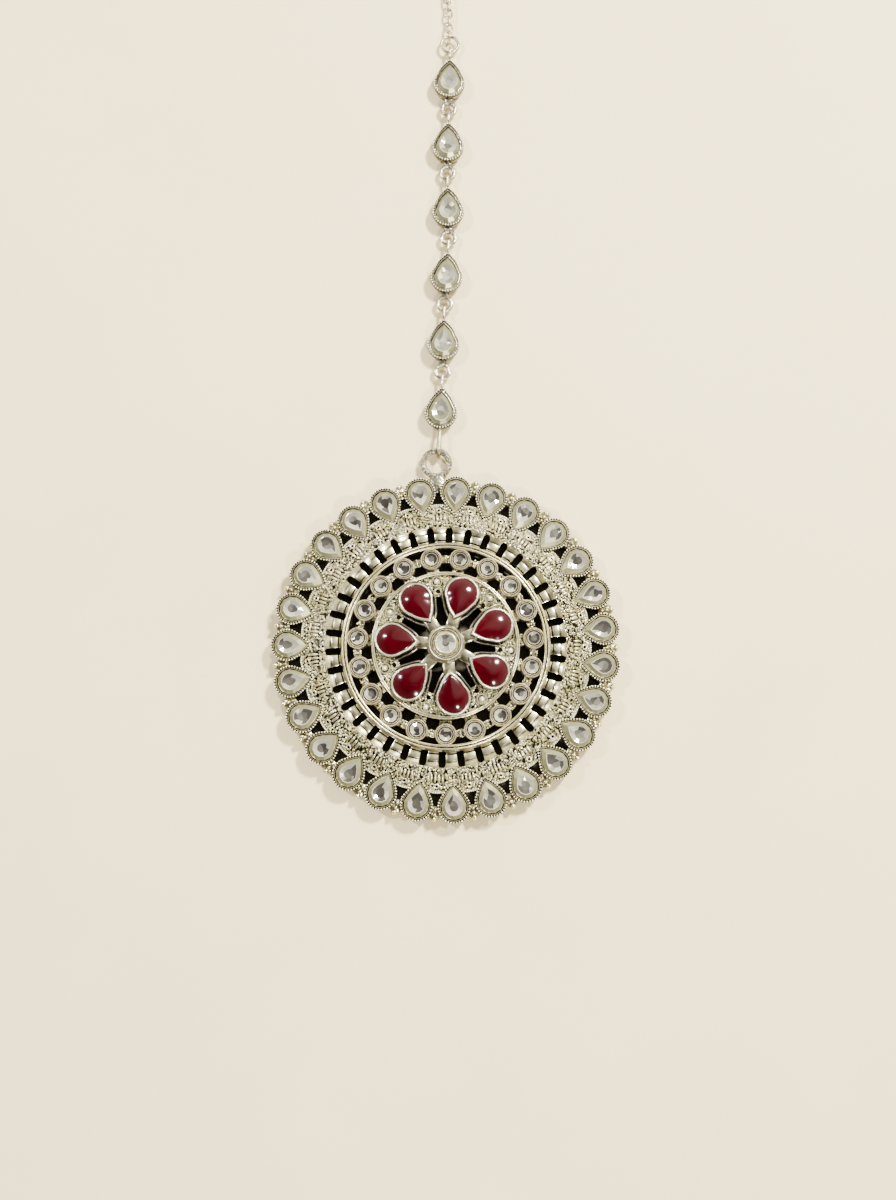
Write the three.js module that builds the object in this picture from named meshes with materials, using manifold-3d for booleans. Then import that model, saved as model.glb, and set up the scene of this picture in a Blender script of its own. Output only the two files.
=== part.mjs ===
// A forehead pendant on a line of stone-set links (a maang tikka), laid flat with its face up.
// Millimetres, +Z up. The origin is the middle of the pendant's back, and +Y runs along the line to the hook.
// The pendant is one pierced casting: a rim of pear cups, a ring of fans, a slotted band, a collar,
// a ring of small round stones, an inner collar and a raised flower of seven petals round a centre cup.
import * as THREE from "three";
import { mergeVertices } from "three/addons/utils/BufferGeometryUtils.js";
import Module from "manifold-3d";

const wasm = await Module();
wasm.setup();

// Fits
const STONE_GAP = 0.1; // air beside and under a stone in its cup
const BITE = 0.15; // how far two soldered members run into each other
const CUP_WALL = 0.42;

// A pear's point, measured from the middle of its round end in radii of that end
const RIM_POINT = 1.57;
const PETAL_POINT = 1.6;
const LINK_POINT = 1.68;

// Flower: centre cup and petals, from the middle outwards
const CENTRE_CUP_RADIUS = 2.65;
const CENTRE_CUP_TOP = 6.6;
const CENTRE_CUP_FLOOR = 4.9;
const CENTRE_FOOT_STEP = 0.35; // the cup's foot is wider by this all round
const CENTRE_FOOT_TOP = 5.2;
const CENTRE_STONE_RISE = 0.7; // table above the cup's lip
const PETAL_COUNT = 7;
const PETAL_FIRST = 20.6; // degrees, clockwise from the bail
const PETAL_RADIUS = 2.7; // round end of a petal's cup
const PETAL_WALL = 0.3;
const PETAL_NECK = 1.35; // from the centre cup to a petal's tip
const PETAL_NECK_WIDTH = 1.3;
const PETAL_TILT = 6; // degrees, outer end down
const PETAL_TOP = 5.2;
const PETAL_CUP_DEPTH = 2.6;
const PETAL_FLOOR_DEPTH = 1.1;
const PETAL_STONE_RISE = 0.95; // crown of the cabochon above the lip
const PLATFORM_WIDTH = 3.3; // the plate round the petals' outer ends, in from the inner collar
const PLATFORM_LOW = 2.9;
const PLATFORM_HIGH = 3.8;
const PLATFORM_HOLE_RADIUS = 0.4; // a small hole between each two petals
const PLATFORM_HOLE_INSET = 2.45; // from the inner collar
const PLATFORM_BEAD_RADIUS = 0.55;
const PLATFORM_BEAD_INSET = 0.9; // from the inner collar
const PETAL_NECK_LOW = 3.4;
const PETAL_NECK_HIGH = 4.3;

// Collars and the ring of small round stones
const INNER_COLLAR_WIDTH = 0.5;
const INNER_COLLAR_TOP = 4.4;
const ROUND_COUNT = 19;
const ROUND_FIRST = 12.4; // degrees
const ROUND_ZONE_WIDTH = 3.8;
const ROUND_CUP_RADIUS = 1.7;
const ROUND_CUP_TOP = 3.9;
const ROUND_STONE_RISE = 0.35;
const ROUND_CUP_FOOT = 1.0;
const ROUND_NECK_WIDTH = 2.0;
const ROUND_NECK_LOW = 1.6;
const ROUND_NECK_HIGH = 2.9;
const ROUND_WEB_WIDTH = 1.3;
const OUTER_COLLAR_WIDTH = 0.8;
const OUTER_COLLAR_TOP = 4.1;

// Slotted band and fans
const SLOT_COUNT = 38;
const SLOT_LENGTH = 2.4;
const SLOT_WIDTH = 1.25;
const SLOT_LEDGE = 0.25; // between the collar's foot and the slots
const BAND_TOP = 2.6;
const DISH_UNDERSIDE = 1.2; // the back is hollow inside the fans
const FAN_CREST = 3.3;
const FAN_CREST_INSET = 1.15;
const FAN_SLOPE = 1.9;
const FAN_PLATE_INSET = 0.7; // from the slots' ends to the fans' own plate
const FAN_BAND_WIDTH = 3.35;
const FAN_TOP = 2.3;
const FAN_LOBE = 0.6; // how far each scallop swells past the band

// Rim of pear cups
const PEAR_COUNT = 27;
const PEAR_RADIUS = 2.53;
const PEAR_TIP_INSET = 1.95; // from the slots to the pears' tips
const RIM_TOP = 3.0;
const CUP_FLOOR = 1.2;
const STONE_RISE = 0.4; // a cut stone's table above its lip
const GIRDLE_DROP = 0.4; // its girdle below the lip
const TABLE_SHARE = 0.58; // its table, of its girdle
const RIM_WEB_LENGTH = 2.0;
const RIM_WEB_WIDTH = 1.3;
const RIM_WEB_FOOT = 0.25;
const RIM_WEB_TOP = 1.9;
const RIM_WEB_INSET = 0.6; // from the rim's outer edge to the webs

// Bail ring on the rim
const BAIL_RADIUS = 2.06;
const BAIL_WIRE = 0.49; // wire radii here and below
const BAIL_LIFT = 1.2;
const BAIL_FOOT_WIDTH = 2.4;
const BAIL_HOLD = 15; // degrees round the bail, clockwise from its top, where the line pulls

// Line of stone-set links, from the pendant up
const LINK_LEANS = [2.5, 1.5, 3.5, -1, 1, 1]; // degrees to the right, one for each link
const LINK_PEAR_RADIUS = 2.62;
const LINK_TOP = 2.3;
const LINK_FLOOR = 0.9;
const LINK_FOOT_SCALE = 0.86; // a link's cup tapers to its back
const EYE_LIFT = 1.05; // height of the wire rings above the table
const EYE_RADIUS = 0.78;
const EYE_WIRE = 0.24;
const EYE_REACH = 1.65; // from a pear's tip to the middle of its eye's far bend
const RING_RADIUS = 1.1;
const RING_WIRE = 0.38;
const RING_NECK = 0.6;
const RING_NECK_WIDTH = 1.5;
const HANGER_RADIUS = 0.92; // the lowest link's long eye, which holds the bail
const HANGER_WIRE = 0.28;
const HANGER_REACH = 3.6;

// Jump ring, fine chain and hook
const JUMP_RADIUS = 1.44;
const JUMP_WIRE = 0.26;
const CHAIN_LINKS = 7; // an odd number, so that both end links stand on edge
const CHAIN_LEAN = -2; // degrees
const CHAIN_PITCH = 1.35;
const CHAIN_RADIUS = 0.52;
const CHAIN_WIRE = 0.18;
const CHAIN_MERGE = 0.12; // neighbouring links run into each other by this
const CHAIN_END_GAP = 0.12;
const END_LINK_RADIUS = 0.76; // the last link, which holds the hook
const HOOK_WIRE = 0.4;
const HOOK_DROOP = 3.2; // degrees, far end down to the table
const HOOK_EYE_RADIUS = 1.1;
const HOOK_SHANK = 8;
const HOOK_BEND = 1.9;
const HOOK_RETURN = 3.6;

// How the pendant lies
const PENDANT_TURN = 2.94; // degrees, anticlockwise seen from above

// How finely round things are cut
const PEAR_ARC_STEPS = 8;
const PETAL_ARC_STEPS = 8;
const CUP_SIDES = 12;
const ROUND_CUP_SIDES = 10;
const INNER_COLLAR_SIDES = 28;
const HOLE_SIDES = 5;
const WIRE_SIDES = 5;
const CHAIN_WIRE_SIDES = 5;
const RING_STEPS = 12;
const BAIL_STEPS = 12;
const CHAIN_STEPS = 10;
const HOOK_BEND_STEPS = 8;
const HOOK_STEPS = 15; // along the whole of its wire

// Radii of the rings, each from the one inside it
const petalTip = CENTRE_CUP_RADIUS + PETAL_NECK;
const petalCentre = petalTip + PETAL_RADIUS * PETAL_POINT;
const innerCollarInner = petalCentre + PETAL_RADIUS - BITE;
const innerCollarOuter = innerCollarInner + INNER_COLLAR_WIDTH;
const platformInner = innerCollarInner - PLATFORM_WIDTH;
const outerCollarInner = innerCollarOuter + ROUND_ZONE_WIDTH;
const outerCollarOuter = outerCollarInner + OUTER_COLLAR_WIDTH;
const roundCentre = outerCollarInner + BITE - ROUND_CUP_RADIUS;
const slotInner = outerCollarOuter + SLOT_LEDGE;
const slotOuter = slotInner + SLOT_LENGTH;
const fanOuter = slotOuter + FAN_BAND_WIDTH;
const pearTip = slotOuter + PEAR_TIP_INSET;
const pearCentre = pearTip + PEAR_RADIUS * RIM_POINT;
const rimOuter = pearCentre + PEAR_RADIUS;
const bailCentre = rimOuter + BAIL_RADIUS + BAIL_WIRE - BITE;

const silver = new THREE.MeshStandardMaterial({ color: 0xd9d6cb, roughness: 0.22, metalness: 1 });
const crystal = new THREE.MeshStandardMaterial({ color: 0xe9ead9, roughness: 0.05, metalness: 0 });
const redGlass = new THREE.MeshStandardMaterial({ color: 0x8c0a18, roughness: 0.08, metalness: 0 });

const radians = THREE.MathUtils.degToRad;
const UP = new THREE.Vector3(0, 0, 1);

// A closed three.js geometry as a manifold solid.
function solid(geometry) {
  const bare = geometry.clone();
  bare.deleteAttribute("normal");
  bare.deleteAttribute("uv");
  const merged = mergeVertices(bare, 1e-4);
  return new wasm.Manifold(
    new wasm.Mesh({
      numProp: 3,
      vertProperties: new Float32Array(merged.attributes.position.array),
      triVerts: new Uint32Array(merged.index.array),
    }),
  );
}

// A manifold solid as a three.js geometry.
function geometryOf(body) {
  const mesh = body.getMesh();
  const geometry = new THREE.BufferGeometry();
  geometry.setAttribute("position", new THREE.BufferAttribute(mesh.vertProperties, 3));
  geometry.setIndex(new THREE.BufferAttribute(mesh.triVerts, 1));
  geometry.computeVertexNormals();
  return geometry;
}

// The added geometries as one body, with the cut ones taken out of it.
function fuse(added, cut = []) {
  const joined = added.map(solid).reduce((whole, piece) => whole.add(piece));
  return geometryOf(cut.map(solid).reduce((whole, piece) => whole.subtract(piece), joined));
}

// The outline of a pear: its round end about the origin, its tip towards -Y at a distance of point radii.
function pearOutline(radius, point, arcSteps) {
  const start = -Math.asin(1 / point);
  const sweep = Math.PI - 2 * start;
  const points = [];
  for (let i = 0; i <= arcSteps; i++) {
    const angle = start + (sweep * i) / arcSteps;
    points.push(new THREE.Vector2(radius * Math.cos(angle), radius * Math.sin(angle)));
  }
  points.push(new THREE.Vector2(0, -radius * point));
  return points;
}

// A regular polygon's corners, the first on +Y.
function roundOutline(radius, sides) {
  return Array.from({ length: sides }, (_, i) => {
    const angle = (2 * Math.PI * i) / sides;
    return new THREE.Vector2(-radius * Math.sin(angle), radius * Math.cos(angle));
  });
}

// A straight-sided solid on an outline, from low to high.
function prism(outline, low, high) {
  const geometry = new THREE.ExtrudeGeometry(new THREE.Shape(outline), {
    depth: high - low,
    bevelEnabled: false,
  });
  return geometry.translate(0, 0, low);
}

// A solid skinned over copies of one outline, each with its own scale and height, from the bottom up.
function loft(outline, levels) {
  const count = outline.length;
  const position = levels.flatMap(({ scale, z }) => outline.flatMap((p) => [p.x * scale, p.y * scale, z]));
  const index = [];
  for (let level = 0; level < levels.length - 1; level++) {
    for (let i = 0; i < count; i++) {
      const low = level * count + i;
      const lowNext = level * count + ((i + 1) % count);
      index.push(low, lowNext, lowNext + count, low, lowNext + count, low + count);
    }
  }
  const top = (levels.length - 1) * count;
  for (const [a, b, c] of THREE.ShapeUtils.triangulateShape(outline, [])) {
    index.push(c, b, a, top + a, top + b, top + c);
  }
  const geometry = new THREE.BufferGeometry();
  geometry.setAttribute("position", new THREE.Float32BufferAttribute(position, 3));
  geometry.setIndex(index);
  geometry.computeVertexNormals();
  return geometry;
}

// A ring turned about Z from a closed profile of [radius, z] corners, given anticlockwise.
function turned(profile, sides) {
  const points = [...profile, profile[0]].map(([r, z]) => new THREE.Vector2(r, z));
  return new THREE.LatheGeometry(points, sides).rotateX(Math.PI / 2);
}

// A box with its middle at (0, y), from low to high.
function block(width, length, y, low, high) {
  return new THREE.BoxGeometry(width, length, high - low).translate(0, y, (low + high) / 2);
}

// A wire ring lying in XY, drawn out along Y by the length of its straight sides.
function wireRing(radius, wire, straight, steps, sides = WIRE_SIDES) {
  const geometry = new THREE.TorusGeometry(radius, wire, sides, steps).rotateZ(Math.PI / steps);
  const position = geometry.attributes.position;
  for (let i = 0; i < position.count; i++) {
    position.setY(i, position.getY(i) + (Math.sign(position.getY(i)) * straight) / 2);
  }
  return geometry;
}

// A place on the pendant: clockwise degrees from the bail, out along the radius, up, and tilted outer end down.
function place(clock, radius, height = 0, tilt = 0) {
  return new THREE.Matrix4()
    .makeRotationZ(-radians(clock))
    .multiply(new THREE.Matrix4().makeTranslation(0, radius, height))
    .multiply(new THREE.Matrix4().makeRotationX(-radians(tilt)));
}

// The clock angles of evenly spaced copies.
function spread(count, first) {
  return Array.from({ length: count }, (_, i) => first + (360 * i) / count);
}

function meshAt(name, geometry, material, matrix) {
  const mesh = new THREE.Mesh(geometry, material);
  mesh.name = name;
  mesh.applyMatrix4(matrix);
  return mesh;
}

// A faceted stone for a cup: point on the floor, girdle under the lip, table above it. Z is from the cup's back.
function cutStone(outline, floor, lip, rise) {
  const count = outline.length;
  const ring = (scale, z) => outline.flatMap((p) => [p.x * scale, p.y * scale, z]);
  const position = [...ring(1, lip - GIRDLE_DROP), ...ring(TABLE_SHARE, lip + rise), 0, 0, floor + STONE_GAP];
  const index = [];
  for (let i = 0; i < count; i++) {
    const next = (i + 1) % count;
    index.push(2 * count, next, i, i, next, next + count, i, next + count, i + count);
  }
  for (const [a, b, c] of THREE.ShapeUtils.triangulateShape(outline, [])) {
    index.push(count + a, count + b, count + c);
  }
  const geometry = new THREE.BufferGeometry();
  geometry.setAttribute("position", new THREE.Float32BufferAttribute(position, 3));
  geometry.setIndex(index);
  geometry.computeVertexNormals();
  return geometry;
}

// Clock angles of the repeated members
const pearClocks = spread(PEAR_COUNT, 180 / PEAR_COUNT);
const gapClocks = spread(PEAR_COUNT, 0);
const slotClocks = spread(SLOT_COUNT, 180 / SLOT_COUNT);
const roundClocks = spread(ROUND_COUNT, ROUND_FIRST);
const petalClocks = spread(PETAL_COUNT, PETAL_FIRST);
const betweenClocks = spread(PETAL_COUNT, PETAL_FIRST + 180 / PETAL_COUNT);

// Rim: pear cups, and the webs between them.
function rimMembers() {
  const cup = prism(pearOutline(PEAR_RADIUS, RIM_POINT, PEAR_ARC_STEPS), 0, RIM_TOP);
  const inside = pearOutline(PEAR_RADIUS - CUP_WALL, RIM_POINT, PEAR_ARC_STEPS);
  const cavity = prism(inside, CUP_FLOOR, RIM_TOP + FAN_CREST);
  const webMiddle = rimOuter - RIM_WEB_INSET - RIM_WEB_LENGTH / 2;
  const web = block(RIM_WEB_WIDTH, RIM_WEB_LENGTH, webMiddle, RIM_WEB_FOOT, RIM_WEB_TOP);
  return {
    added: [
      ...pearClocks.map((clock) => cup.clone().applyMatrix4(place(clock, pearCentre))),
      ...gapClocks.slice(1).map((clock) => web.clone().applyMatrix4(place(clock, 0))),
    ],
    cut: pearClocks.map((clock) => cavity.clone().applyMatrix4(place(clock, pearCentre))),
  };
}

// The fans' plate: a ring with one scallop between each two pears.
function fanPlate() {
  const edge = roundOutline(1, 2 * PEAR_COUNT).map((p, i) => p.multiplyScalar(fanOuter + (i % 2 ? 0 : FAN_LOBE)));
  const shape = new THREE.Shape(edge);
  shape.holes.push(new THREE.Path(roundOutline(slotOuter + FAN_PLATE_INSET, SLOT_COUNT)));
  return new THREE.ExtrudeGeometry(shape, { depth: FAN_TOP, bevelEnabled: false });
}

// Dish: the outer collar, the slotted band and the fans' crest, hollow underneath.
function dishMembers() {
  const crest = slotOuter + FAN_CREST_INSET;
  const profile = [
    [outerCollarInner, DISH_UNDERSIDE],
    [crest, DISH_UNDERSIDE],
    [crest + FAN_SLOPE, FAN_TOP - BITE],
    [crest, FAN_CREST],
    [outerCollarOuter, BAND_TOP],
    [outerCollarOuter, OUTER_COLLAR_TOP],
    [outerCollarInner, OUTER_COLLAR_TOP],
  ];
  const half = SLOT_WIDTH / 2;
  const shoulder = slotOuter - half;
  const archedSlot = [
    new THREE.Vector2(-half, slotInner),
    new THREE.Vector2(half, slotInner),
    new THREE.Vector2(half, shoulder),
    new THREE.Vector2(0, slotOuter),
    new THREE.Vector2(-half, shoulder),
  ];
  const slot = prism(archedSlot, 0, FAN_CREST);
  return {
    added: [turned(profile, SLOT_COUNT), fanPlate()],
    cut: slotClocks.map((clock) => slot.clone().applyMatrix4(place(clock, 0))),
  };
}

// Ring of small round stones: cups with their stones fused in, each tied to the inner collar and to the next.
function roundMembers() {
  const stoneScale = (ROUND_CUP_RADIUS - CUP_WALL) / ROUND_CUP_RADIUS;
  const cup = loft(roundOutline(ROUND_CUP_RADIUS, ROUND_CUP_SIDES), [
    { scale: 1, z: ROUND_CUP_FOOT },
    { scale: 1, z: ROUND_CUP_TOP },
    { scale: stoneScale, z: ROUND_CUP_TOP },
    { scale: stoneScale * TABLE_SHARE, z: ROUND_CUP_TOP + ROUND_STONE_RISE },
  ]);
  const neckLength = roundCentre - innerCollarOuter + BITE;
  const neckMiddle = roundCentre - neckLength / 2;
  const neck = block(ROUND_NECK_WIDTH, neckLength, neckMiddle, ROUND_NECK_LOW, ROUND_NECK_HIGH);
  const apart = 2 * roundCentre * Math.sin(Math.PI / ROUND_COUNT) - 2 * ROUND_CUP_RADIUS;
  const tie = block(apart + 2 * CUP_WALL, ROUND_WEB_WIDTH, roundCentre, ROUND_NECK_LOW, ROUND_NECK_HIGH);
  const tieClocks = spread(ROUND_COUNT, ROUND_FIRST + 180 / ROUND_COUNT);
  return [
    ...roundClocks.map((clock) => cup.clone().applyMatrix4(place(clock, roundCentre))),
    ...roundClocks.map((clock) => neck.clone().applyMatrix4(place(clock, 0))),
    ...tieClocks.map((clock) => tie.clone().applyMatrix4(place(clock, 0))),
  ];
}

// Inner collar, petal cups, the plate round them with its beads and holes, and the centre cup on its post.
function flowerMembers() {
  const collar = turned(
    [
      [innerCollarInner, DISH_UNDERSIDE],
      [innerCollarOuter, DISH_UNDERSIDE],
      [innerCollarOuter, INNER_COLLAR_TOP],
      [innerCollarInner, INNER_COLLAR_TOP],
    ],
    INNER_COLLAR_SIDES,
  );
  const petal = prism(pearOutline(PETAL_RADIUS, PETAL_POINT, PETAL_ARC_STEPS), -PETAL_CUP_DEPTH, 0);
  const inside = pearOutline(PETAL_RADIUS - PETAL_WALL, PETAL_POINT, PETAL_ARC_STEPS);
  const petalCavity = prism(inside, -PETAL_FLOOR_DEPTH, PETAL_CUP_DEPTH);
  const atPetals = (geometry) =>
    petalClocks.map((clock) => geometry.clone().applyMatrix4(place(clock, petalCentre, PETAL_TOP, PETAL_TILT)));
  const neckLength = petalTip + PETAL_NECK_WIDTH - CENTRE_CUP_RADIUS / 2;
  const neckMiddle = CENTRE_CUP_RADIUS / 2 + neckLength / 2;
  const neck = block(PETAL_NECK_WIDTH, neckLength, neckMiddle, PETAL_NECK_LOW, PETAL_NECK_HIGH);
  const platform = turned(
    [
      [platformInner, PLATFORM_LOW],
      [innerCollarInner + BITE, PLATFORM_LOW],
      [innerCollarInner + BITE, PLATFORM_HIGH],
      [platformInner, PLATFORM_HIGH],
    ],
    INNER_COLLAR_SIDES,
  );
  const bead = new THREE.SphereGeometry(PLATFORM_BEAD_RADIUS, 6, 3)
    .rotateX(Math.PI / 2)
    .translate(0, innerCollarInner - PLATFORM_BEAD_INSET, PLATFORM_HIGH + BITE);
  const hole = prism(
    roundOutline(PLATFORM_HOLE_RADIUS, HOLE_SIDES),
    PLATFORM_LOW - BITE,
    PLATFORM_HIGH + BITE,
  ).translate(0, innerCollarInner - PLATFORM_HOLE_INSET, 0);
  const betweenPetals = (geometry) =>
    betweenClocks.map((clock) => geometry.clone().applyMatrix4(place(clock, 0)));
  const centreCup = prism(roundOutline(CENTRE_CUP_RADIUS, CUP_SIDES), CENTRE_CUP_FLOOR - BITE, CENTRE_CUP_TOP);
  const centreFoot = prism(roundOutline(CENTRE_CUP_RADIUS + CENTRE_FOOT_STEP, CUP_SIDES), 0, CENTRE_FOOT_TOP);
  const centreCavity = prism(
    roundOutline(CENTRE_CUP_RADIUS - CUP_WALL, CUP_SIDES),
    CENTRE_CUP_FLOOR,
    CENTRE_CUP_TOP + CUP_WALL,
  );
  return {
    added: [
      collar,
      platform,
      ...atPetals(petal),
      ...petalClocks.map((clock) => neck.clone().applyMatrix4(place(clock, 0))),
      ...betweenPetals(bead),
      centreFoot,
      centreCup,
    ],
    cut: [...atPetals(petalCavity), ...betweenPetals(hole), centreCavity],
  };
}

// Bail: a ring of round wire on a small foot at the top of the rim.
function bailMembers() {
  const ring = wireRing(BAIL_RADIUS, BAIL_WIRE, 0, BAIL_STEPS).translate(0, bailCentre, BAIL_LIFT);
  const footLength = bailCentre - BAIL_RADIUS - pearCentre;
  const footMiddle = pearCentre + footLength / 2;
  return [ring, block(BAIL_FOOT_WIDTH, footLength, footMiddle, 0, BAIL_LIFT + BAIL_WIRE)];
}

function pendantFrame() {
  const rim = rimMembers();
  const dish = dishMembers();
  const flower = flowerMembers();
  return fuse(
    [...rim.added, ...dish.added, ...roundMembers(), ...flower.added, ...bailMembers()],
    [...rim.cut, ...dish.cut, ...flower.cut],
  );
}

// A cabochon for a petal cup: its girdle fills the cup and it crowns above the lip, Z from the lip.
function cabochon() {
  return loft(pearOutline(PETAL_RADIUS - PETAL_WALL - STONE_GAP, PETAL_POINT, PETAL_ARC_STEPS), [
    { scale: 1, z: STONE_GAP - PETAL_FLOOR_DEPTH },
    { scale: 1, z: 0 },
    { scale: 0.8, z: PETAL_STONE_RISE * 0.62 },
    { scale: 0.42, z: PETAL_STONE_RISE },
  ]);
}

// Pendant
const pendant = new THREE.Group();
pendant.rotation.z = radians(PENDANT_TURN);
const onPendant = new THREE.Matrix4();
pendant.add(meshAt("pendant_frame", pendantFrame(), silver, onPendant));

const rimStoneOutline = pearOutline(PEAR_RADIUS - CUP_WALL - STONE_GAP, RIM_POINT, PEAR_ARC_STEPS);
pearClocks.forEach((clock, i) => {
  const stone = cutStone(rimStoneOutline, CUP_FLOOR, RIM_TOP, STONE_RISE);
  const name = `rim_stone_${String(i + 1).padStart(2, "0")}`;
  pendant.add(meshAt(name, stone, crystal, place(clock, pearCentre)));
});
petalClocks.forEach((clock, i) => {
  const seat = place(clock, petalCentre, PETAL_TOP, PETAL_TILT);
  pendant.add(meshAt(`petal_stone_${i + 1}`, cabochon(), redGlass, seat));
});
const centreStoneOutline = roundOutline(CENTRE_CUP_RADIUS - CUP_WALL - STONE_GAP, CUP_SIDES);
const centreStone = cutStone(centreStoneOutline, CENTRE_CUP_FLOOR, CENTRE_CUP_TOP, CENTRE_STONE_RISE);
pendant.add(meshAt("centre_stone", centreStone, crystal, onPendant));

// A link's own frame: the pear's middle at the origin and its tip towards +Y, up the line.
const linkOutline = (radius) => pearOutline(radius, LINK_POINT, PEAR_ARC_STEPS).map((p) => p.negate());
const linkTip = LINK_PEAR_RADIUS * LINK_POINT;
const eyePivot = linkTip + EYE_REACH;
const ringPivot = -(LINK_PEAR_RADIUS + RING_NECK + 2 * RING_RADIUS);
const hangerPivot = -(LINK_PEAR_RADIUS + HANGER_REACH);

// An eye of wire standing on edge, from a root on the cup to the middle of its far bend.
function standingEye(radius, wire, root, pivot) {
  const straight = Math.abs(pivot - root) - radius;
  const middle = pivot - (Math.sign(pivot) * straight) / 2;
  return wireRing(radius, wire, straight, CHAIN_STEPS)
    .rotateY(Math.PI / 2)
    .translate(0, middle, EYE_LIFT);
}

// A link's setting: a pear cup with a standing eye at its tip, and a flat ring or a hanger at its round end.
function linkSetting(lowest) {
  const cup = loft(linkOutline(LINK_PEAR_RADIUS), [
    { scale: LINK_FOOT_SCALE, z: 0 },
    { scale: 1, z: LINK_TOP },
  ]);
  const cavity = prism(linkOutline(LINK_PEAR_RADIUS - CUP_WALL), LINK_FLOOR, 2 * LINK_TOP);
  const eye = standingEye(EYE_RADIUS, EYE_WIRE, linkTip - BITE, eyePivot);
  if (lowest) {
    const hanger = standingEye(HANGER_RADIUS, HANGER_WIRE, -LINK_PEAR_RADIUS + BITE, hangerPivot);
    return fuse([cup, eye, hanger.translate(0, 0, BAIL_LIFT - EYE_LIFT)], [cavity]);
  }
  const ring = wireRing(RING_RADIUS, RING_WIRE, 0, RING_STEPS).translate(0, ringPivot + RING_RADIUS, EYE_LIFT);
  const neckLength = RING_NECK + CUP_WALL;
  const neckMiddle = -LINK_PEAR_RADIUS - RING_NECK + neckLength / 2;
  const neck = block(RING_NECK_WIDTH, neckLength, neckMiddle, EYE_LIFT - RING_WIRE, EYE_LIFT + RING_WIRE);
  return fuse([cup, eye, ring, neck], [cavity]);
}

// A frame on the table at a point, its +Y leaning to the right by some degrees.
function lean(point, degrees) {
  return new THREE.Matrix4()
    .makeTranslation(point.x, point.y, 0)
    .multiply(new THREE.Matrix4().makeRotationZ(-radians(degrees)));
}

// Walk up the line from the bail's far side, one link at a time.
const line = new THREE.Group();
const bailMiddle = new THREE.Vector3(0, bailCentre, 0).applyAxisAngle(UP, radians(PENDANT_TURN));
const bailPull = new THREE.Vector3(0, BAIL_RADIUS, 0).applyAxisAngle(UP, radians(PENDANT_TURN - BAIL_HOLD));
let pivot = bailMiddle.add(bailPull);
LINK_LEANS.forEach((degrees, i) => {
  const lowest = i === 0;
  const below = lowest ? hangerPivot : ringPivot;
  const seat = lean(pivot, degrees).multiply(new THREE.Matrix4().makeTranslation(0, -below, 0));
  const stone = cutStone(linkOutline(LINK_PEAR_RADIUS - CUP_WALL - STONE_GAP), LINK_FLOOR, LINK_TOP, STONE_RISE);
  line.add(meshAt(`link_setting_${i + 1}`, linkSetting(lowest), silver, seat));
  line.add(meshAt(`link_stone_${i + 1}`, stone, crystal, seat));
  pivot = new THREE.Vector3(0, eyePivot, 0).applyMatrix4(seat);
});

// The jump ring holds the last link's eye at its near side and the fine chain at its far side.
const jumpFrame = lean(pivot, 0);
const jumpRing = wireRing(JUMP_RADIUS, JUMP_WIRE, 0, RING_STEPS).translate(0, JUMP_RADIUS, EYE_LIFT);
line.add(meshAt("jump_ring", jumpRing, silver, jumpFrame));

// A link's straight length, for a pitch to the next link and a wire held by each of its bends.
const chainStraight = (radius) => CHAIN_PITCH - CHAIN_MERGE + 2 * CHAIN_WIRE - 2 * radius;

// Fine chain: oval links, edge-on and flat by turns, the first holding the jump ring and the last the hook.
function fineChain() {
  const straight = chainStraight(CHAIN_RADIUS);
  const links = Array.from({ length: CHAIN_LINKS - 1 }, (_, i) => {
    const link = wireRing(CHAIN_RADIUS, CHAIN_WIRE, straight, CHAIN_STEPS, CHAIN_WIRE_SIDES);
    if (i % 2 === 0) link.rotateY(Math.PI / 2);
    return link.translate(0, CHAIN_PITCH * i, EYE_LIFT);
  });
  const endLink = wireRing(END_LINK_RADIUS, CHAIN_WIRE, 0, CHAIN_STEPS, CHAIN_WIRE_SIDES).rotateY(Math.PI / 2);
  return fuse([...links, endLink.translate(0, endLinkMiddle, EYE_LIFT)]);
}

const chainHalf = chainStraight(CHAIN_RADIUS) / 2 + CHAIN_RADIUS;
const endLinkMiddle = CHAIN_PITCH * (CHAIN_LINKS - 2) + chainHalf - 2 * CHAIN_WIRE + CHAIN_MERGE + END_LINK_RADIUS;
const chainStart = new THREE.Vector3(0, 2 * JUMP_RADIUS, 0).applyMatrix4(jumpFrame);
const firstLink = chainHalf - CHAIN_WIRE - JUMP_WIRE - CHAIN_END_GAP;
const chainFrame = lean(chainStart, CHAIN_LEAN).multiply(new THREE.Matrix4().makeTranslation(0, firstLink, 0));
line.add(meshAt("fine_chain", fineChain(), silver, chainFrame));

// Hook: round wire with a closed eye, a straight shank and one open bend.
function hook() {
  const shankStart = HOOK_EYE_RADIUS;
  const bendStart = shankStart + HOOK_SHANK;
  const path = new THREE.CurvePath();
  path.add(new THREE.LineCurve3(new THREE.Vector3(0, shankStart, 0), new THREE.Vector3(0, bendStart, 0)));
  const bend = Array.from({ length: HOOK_BEND_STEPS + 1 }, (_, i) => {
    const angle = (Math.PI * i) / HOOK_BEND_STEPS;
    return new THREE.Vector3(HOOK_BEND * (1 - Math.cos(angle)), bendStart + HOOK_BEND * Math.sin(angle), 0);
  });
  for (let i = 0; i < bend.length - 1; i++) path.add(new THREE.LineCurve3(bend[i], bend[i + 1]));
  const returnEnd = new THREE.Vector3(2 * HOOK_BEND, bendStart - HOOK_RETURN, 0);
  path.add(new THREE.LineCurve3(bend[bend.length - 1], returnEnd));
  const wire = new THREE.ExtrudeGeometry(new THREE.Shape(roundOutline(HOOK_WIRE, WIRE_SIDES)), {
    steps: HOOK_STEPS,
    extrudePath: path,
  });
  const eye = wireRing(HOOK_EYE_RADIUS, HOOK_WIRE, 0, RING_STEPS);
  return fuse([eye, wire]);
}

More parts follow.
